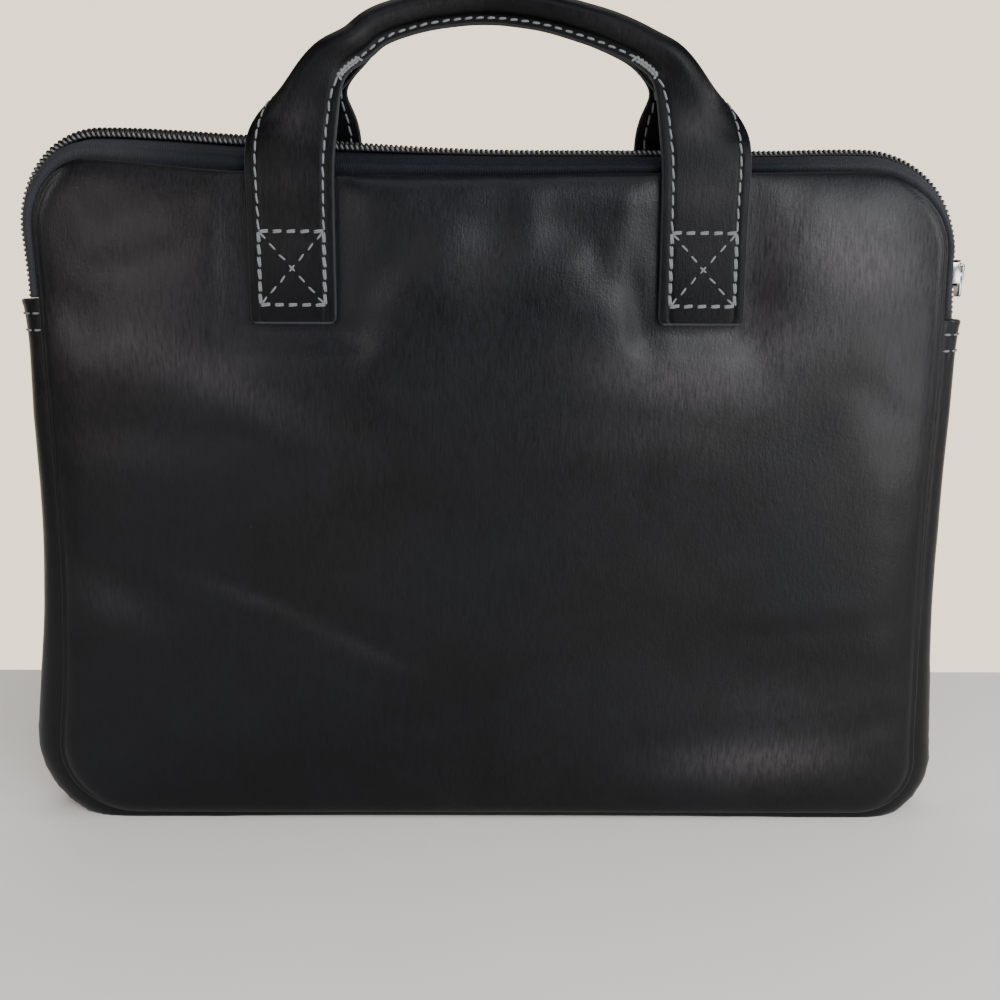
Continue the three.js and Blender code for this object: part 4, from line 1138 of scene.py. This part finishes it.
def make_handle(name, form, span, rise, side):
    even = np.linspace(0, 1, 2001)
    path = handle_frames(form, span, rise, even)[0]
    length = running(np.hypot(*np.diff(path, axis=0).T))
    feet = length[-1] - np.array(FOOT_SIZES)[::-1]
    right = np.interp(np.concatenate([np.arange(0, feet[0] - 0.5, HANDLE_STEP), feet]), length, even)
    share = np.concatenate([-right[:0:-1], right])
    count = len(share)
    point, out, plane, fold, round_share = handle_frames(form, span, rise, share)
    plane, fold, round_share = (along_filter(v, FORM_SOFTEN) for v in (plane, fold, round_share))
    fold = np.where(fold > FOLD_END, 1.0, fold)
    reach = np.hypot(*(point - point[0]).T)
    from_foot = np.minimum(reach, np.hypot(*(point - point[-1]).T))
    sections, rails, painted_sheen = [], [[], [], [], []], []
    for i in range(count):
        swell = STRAP_SWELL * bell((point[i, 1] - SWELL_HEIGHT) / SWELL_REACH)
        w, d, heading, s, thick = strap_section(float(fold[i]), float(round_share[i]), swell)
        width = s[-1]
        foot = min(from_foot[i], FOOT_RADIUS)
        inset = FOOT_RADIUS - math.sqrt(FOOT_RADIUS**2 - (FOOT_RADIUS - foot) ** 2)
        w = width / 2 + (w - width / 2) * (1 - 2 * inset / width) if foot < FOOT_RADIUS else w
        slim = float(smooth(-0.7, 0.7, from_foot[i]))
        normal = np.stack([-np.sin(heading), np.cos(heading)], -1)
        line = np.stack([w, d], -1)
        rows_in = mix(STITCH_INSET_LEG, STITCH_INSET_ARCH, fold[i])
        groove = sum(0.3 * bell((s - at) / 0.85) for at in (rows_in, width - rows_in))
        groove = groove + 0.6 * float(fold[i] ** 4) * bell(s - 3.4)
        middle = np.sin(math.pi * np.clip(s / width, 0, 1)).clip(0) ** 0.5
        belly = 0.3 * middle * (1 - fold[i]) * slim
        height = point[i, 1]
        lines = sum(
            depth * bell((height - z - slope * (s - width / 2) - 0.6 * np.sin(s / 2 + z)) / half)
            for leg, z, slope, half, depth in STRAP_CREASES if leg * share[i] > 0
        ) * middle
        front = line - normal * (thick / 2 * slim - groove + belly - lines)[:, None]
        back = line + normal * (thick / 2)
        # painted highlight: how far the strap's colour is lightened here
        pale = sum(
            amount * np.exp(-(((height - z) / up) ** 2) - ((s / width - place) / reach) ** 2)
            for leg, z, place, up, reach, amount in STRAP_PAINTED_SHEEN if leg * share[i] > 0
        )
        painted_sheen.append(np.append(np.broadcast_to(pale, s.shape), np.zeros(len(s) + 2 * EDGE_POINTS)))
        angle = np.linspace(0, math.pi, EDGE_POINTS + 2)[1:-1, None]
        across, beyond = thick / 2 * np.cos(angle), EDGE_BULGE * np.sin(angle)
        last_way = np.array([math.cos(heading[-1]), math.sin(heading[-1])])
        end = line[-1] - normal[-1] * across + last_way * beyond
        begin = line[0] + normal[0] * across - np.array([1, 0]) * beyond

        def in_place(flat):
            flat = np.atleast_2d(flat)
            return np.stack([point[i, 0] + out[i, 0] * flat[:, 0], side * (plane[i] - flat[:, 1]),
                             point[i, 1] + out[i, 1] * flat[:, 0]], -1)

        sections.append(in_place(np.concatenate([front, end, back[::-1], begin])))
        for rail, (at, face, sign) in zip(rails, (
            (rows_in, front, -1), (width - rows_in, front, -1),
            (rows_in, back, 1), (width - rows_in, back, 1),
        )):
            k = float(np.interp(at, s, np.arange(len(s))))
            spot = mix(face[int(k)], face[min(int(k) + 1, len(s) - 1)], k - int(k))
            facing = sign * normal[int(k)]
            turned = (out[i, 0] * facing[0], -side * facing[1], out[i, 1] * facing[0])
            rail.append((in_place(spot)[0], turned))
    keep = smooth(*TAB_KEPT, from_foot)[:, None, None]
    section, *rails = (mix(part, along_filter(part, SKIN_SOFTEN), keep)
                       for part in map(np.array, (sections, *rails)))
    rails = np.array(rails)
    faces = tube_faces(*section.shape[:2])
    wear_and_highlight = np.zeros(section.shape[:2])
    wear_and_highlight[:, ACROSS_STRAP + 1:ACROSS_STRAP + 1 + EDGE_POINTS] = EDGE_WEAR_AND_HIGHLIGHT
    wear_and_highlight[:, -EDGE_POINTS:] = EDGE_WEAR_AND_HIGHLIGHT
    wear_and_highlight[:3] = wear_and_highlight[-3:] = FOOT_WEAR_AND_HIGHLIGHT
    strap = new_object(name + "_strap", section.reshape(-1, 3), faces, STRAP_LEATHER,
                       {"wear_and_highlight": wear_and_highlight.ravel(), "painted_sheen": np.array(painted_sheen)})
    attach(strap, "case")
    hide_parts(name)
    sew_handle(name, side, rails, fold)


def zigzag(line, facing, swing, pitch):
    """A dense zigzag along a line, where the machine sewed back and forth."""
    length = running(np.linalg.norm(np.diff(line, axis=0), axis=1))
    ticks = np.arange(0, length[-1], pitch)
    spots = np.stack([np.interp(ticks, length, line[:, c]) for c in range(3)], -1)
    along = np.gradient(spots, axis=0)
    aside = np.cross(along, facing.mean(axis=0))
    aside /= np.linalg.norm(aside, axis=1, keepdims=True)
    return spots + aside * (swing * (-1.0) ** np.arange(len(ticks)))[:, None]


def sew_handle(name, side, rails, fold):
    """Stitches of one handle: both edges of each leg, the arch's flange and the two tabs."""
    half = rails.shape[1] // 2
    above = BOX_TOP + 0.45 * STITCH_PITCH
    legs, arches, knots = [], [], []
    flat = fold < FOLD_END
    for rail in rails:
        for part in (slice(0, half), slice(half, None)):
            line, facing = rail[part, 0], rail[part, 1]
            keep = flat[part] & (line[:, 2] >= above)
            legs.append((line[keep], facing[keep]))
    line, facing = rails[0][:, 0], rails[0][:, 1]
    arches += [(rail[~flat, 0], rail[~flat, 1]) for rail in rails[:2]]
    rolled = np.flatnonzero(~flat)
    for ends in (slice(rolled[0] - 8, rolled[0] + 3), slice(rolled[-1] - 3, rolled[-1] + 8)):
        back_tack = zigzag(line[ends], facing[ends], 0.8, 0.9)
        knots.append((back_tack, facing[ends].mean(axis=0)))
    outwards = np.array([0.0, side * 1.0, 0.0])
    boxes, crosses = [], []
    start = int(np.argmax(rails[0][:, 0, 2] >= BOX_FOOT))
    for i in (start, rails.shape[1] - 1 - start):
        xa, xb = rails[0][i, 0, 0], rails[1][i, 0, 0]
        y = rails[0][i, 0, 1]
        corners = [(xa, BOX_FOOT), (xb, BOX_FOOT), (xa, BOX_TOP), (xb, BOX_TOP)]
        for a, b, group in ((0, 1, boxes), (2, 3, boxes), (0, 2, boxes), (1, 3, boxes),
                            (0, 3, crosses), (1, 2, crosses)):
            (x0, z0), (x1, z1) = corners[a], corners[b]
            trim = 0.08 if group is boxes else 0.06
            line = np.array([(mix(x0, x1, t), y + side * 0.1, mix(z0, z1, t))
                             for t in (trim, 0.5, 1 - trim)])
            if group is crosses:
                group.append((line, outwards))
                continue
            beside = 0.3 * np.array([z1 - z0, 0, x0 - x1]) / math.hypot(x1 - x0, z1 - z0)
            group += [(line + beside, outwards), (line - beside, outwards)]
    for part, paths, radius, length, pitch in (
        ("edge", legs, 0.37, 4.4, STITCH_PITCH), ("arch", arches, 0.42, 3.1, ARCH_PITCH),
        ("box", boxes, 0.36, 4.3, BOX_PITCH), ("cross", crosses, 0.36, 4.1, CROSS_PITCH),
        ("knot", knots, 0.46, 2.2, 1.2),
    ):
        piece = stitch_piece(name + "_" + part, radius, length, pitch)
        made = repeat(name + "_" + part + "_stitches", paths, piece, pitch, THREAD, skew=0.09, uneven=0.07)
        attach(made, "case")


def stitch_piece(name, radius, length, pitch):
    """One stitch: a short thread that dips into the leather, and a sunk rod coloured as painted shade in the
    hole up to the next.
    """
    half = length / 2
    thread = [(half * a, 0, radius * (0.6 - 1.5 * a**4)) for a in np.linspace(-1, 1, 9)]
    radii = radius * np.array([0.4, 0.85, 1, 1.04, 1.06, 1.04, 1, 0.85, 0.4])
    rods = [bent_rod(thread, 8, radii, 1.15, (0, 1, 0))]
    if pitch > length:
        painted_hole_shade = [(x, 0, -0.7 * radius) for x in np.linspace(half - 0.25, pitch - half + 0.25, 5)]
        rods.append(bent_rod(painted_hole_shade, 6, radius * np.array([0.5, 0.85, 0.95, 0.85, 0.5]), 1.0, (0, 1, 0)))
    return source(name, rods, "painted_hole_shade", [0, 1])


GUSSET_SEAMS = (5.7, 12.2)  # distances of its two rows of stitches from the gusset's end


def sew_gusset(start, end):
    """Two rows of stitches across each folded end of the gusset."""
    paths = []
    for reach in GUSSET_SEAMS:
        for distance in (start + reach, end - reach):
            point, out, crown = stations(np.full(33, distance))
            rise = crown + END_RISE * max(0, 1 - reach / END_REACH) ** 2
            share = np.linspace(-0.985, 0.985, 33)
            half = HALF_SEAM - GAP / 2
            over = rise * arch(share, GUSSET_BOW)
            y = share * half
            line = np.stack([point[:, 0] + out[:, 0] * over, y, point[:, 1] + out[:, 1] * over], -1)
            steep = np.gradient(over, y)
            facing = np.stack([out[:, 0], -steep, out[:, 1]], -1)
            facing /= np.linalg.norm(facing, axis=1, keepdims=True)
            paths.append((line, facing))
    stitch = stitch_piece("gusset_stitch", THREAD_RADIUS, 3.9, STITCH_PITCH)
    made = repeat("gusset_stitches", paths, stitch, STITCH_PITCH, THREAD, uneven=0.04)
    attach(made, "case")


def build_case():
    make_panel("front_panel", -1, FRONT_DENTS, FRONT_CREASES, FRONT_PAINTED_SHEEN, 3)
    make_panel("back_panel", 1, BACK_DENTS, [], BACK_PAINTED_SHEEN, 8)
    start, end = make_gusset()
    sew_gusset(start, end)
    make_tape("zip_tape_front", -1)
    make_tape("zip_tape_back", 1)
    make_coil()
    make_handle("handle_front", FRONT_HANDLE, FRONT_SPAN, HANDLE_RISE, -1)
    make_handle("handle_back", BACK_HANDLE, BACK_SPAN, HANDLE_RISE + BACK_LIFT, 1)
    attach(soften_metal("zip_slider", 0.22), "case")
    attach(soften_metal("zip_pull", 0.25), "pull")


# Floor, light and camera

FLOOR_BACK = 175.0  # how far the floor reaches behind the case
FLOOR_REACH = 12.0  # and to the sides and the front, in metres


def make_floor():
    look = Look("pale_floor")
    grain = look.noise(9.0, 3.0)
    base = look.blend(grain, (0.83, 0.8, 0.745, 1), (0.89, 0.86, 0.805, 1))
    material = look.finish(Base_Color=base, Roughness=0.55)
    size, back = FLOOR_REACH, FLOOR_BACK * MM
    mesh = bpy.data.meshes.new("floor")
    corners = [(-size, -size, 0), (size, -size, 0), (size, back, 0), (-size, back, 0)]
    mesh.from_pydata(corners, [], [(0, 1, 2, 3)])
    mesh.materials.append(material)
    floor = add_object("floor", mesh)


def make_light(name, place, aim, size, power, tint=(1, 1, 1)):
    data = bpy.data.lights.new(name, "AREA")
    data.shape = "RECTANGLE"
    data.size, data.size_y = size
    data.energy = power
    data.color = tint
    light = add_object(name, data)
    light.location = place
    light.rotation_euler = (Vector(aim) - Vector(place)).to_track_quat("-Z", "Y").to_euler()


WALL_TONE = (2.0, 1.74, 1.28, 1)
ROOM_DIM = (0.035, 0.037, 0.04, 1)  # light from the room in front of the case
ROOM_BRIGHT = (1.3, 1.15, 0.92, 1)  # and from the wall behind it


def make_world():
    world = bpy.data.worlds.new("pale_room")
    bpy.context.scene.world = world
    world.use_nodes = True
    sky = Graph(world.node_tree)
    direction = sky.node("ShaderNodeTexCoord", output="Generated")
    behind = sky.node("ShaderNodeSeparateXYZ", None, {0: direction}, "Y").between(0.1, 0.6)
    low = sky.node("ShaderNodeSeparateXYZ", None, {0: direction}, "Z").between(0.42, 0.24)
    light = sky.blend(behind * low, ROOM_DIM, ROOM_BRIGHT)
    seen = sky.node("ShaderNodeLightPath", output="Is Camera Ray")
    sky.feed(sky.tree.nodes["Background"].inputs["Color"], sky.blend(seen, light, WALL_TONE))


CAMERA_PLACE = (0.3, -477.8, 228.3)
CAMERA_YAW = 0.31
CAMERA_PITCH = 10.82
CAMERA_ROLL = 0.26
CAMERA_LENS = 41.4


def make_camera():
    data = bpy.data.cameras.new("camera")
    data.lens = CAMERA_LENS
    data.sensor_width = 36.0
    data.clip_start = 0.01
    camera = add_object("camera", data)
    yaw, pitch, roll = (math.radians(a) for a in (CAMERA_YAW, CAMERA_PITCH, CAMERA_ROLL))
    forward = Vector((math.sin(yaw) * math.cos(pitch), math.cos(yaw) * math.cos(pitch), -math.sin(pitch)))
    right = Vector((math.cos(yaw), -math.sin(yaw), 0))
    up = right.cross(forward)
    right, up = (right * math.cos(roll) + up * math.sin(roll), up * math.cos(roll) - right * math.sin(roll))
    turn = Matrix((right, up, -forward)).transposed().to_4x4()
    camera.matrix_world = Matrix.Translation(Vector(metres(CAMERA_PLACE))) @ turn
    bpy.context.scene.camera = camera


make_camera()
build_case()
make_floor()
make_world()
for lamp in (
    # name, place, aim, size, power, tint
    ("window", (0.5, -1.1, 0.58), (0.05, 0, 0.2), (0.45, 0.3), 9.2, (0.93, 0.97, 1)),
    ("left_front", (-0.62, -1.15, 0.42), (-0.1, 0, 0.2), (0.4, 0.3), 4.2, (1, 0.93, 0.92)),
    ("right_side", (1.1, -0.25, 0.5), (0, 0, 0.15), (0.3, 0.6), 6.2),
    ("left_side", (-1, -0.35, 0.6), (0, 0, 0.15), (0.25, 0.5), 3),
    ("right_high", (0.9, -0.8, 0.9), (0.1, 0, 0.2), (0.4, 0.4), 5.3),
    ("right_low", (0.75, -1.1, 0.1), (0.1, 0, 0.1), (0.4, 0.3), 4.7),
    ("front_high", (0, -0.9, 1.2), (0, 0, 0.15), (0.6, 0.4), 3.5),
    ("back_high", (0, 0.5, 1.8), (0, 0.3, 0), (1.6, 1.2), 12),
):
    make_light(*lamp)
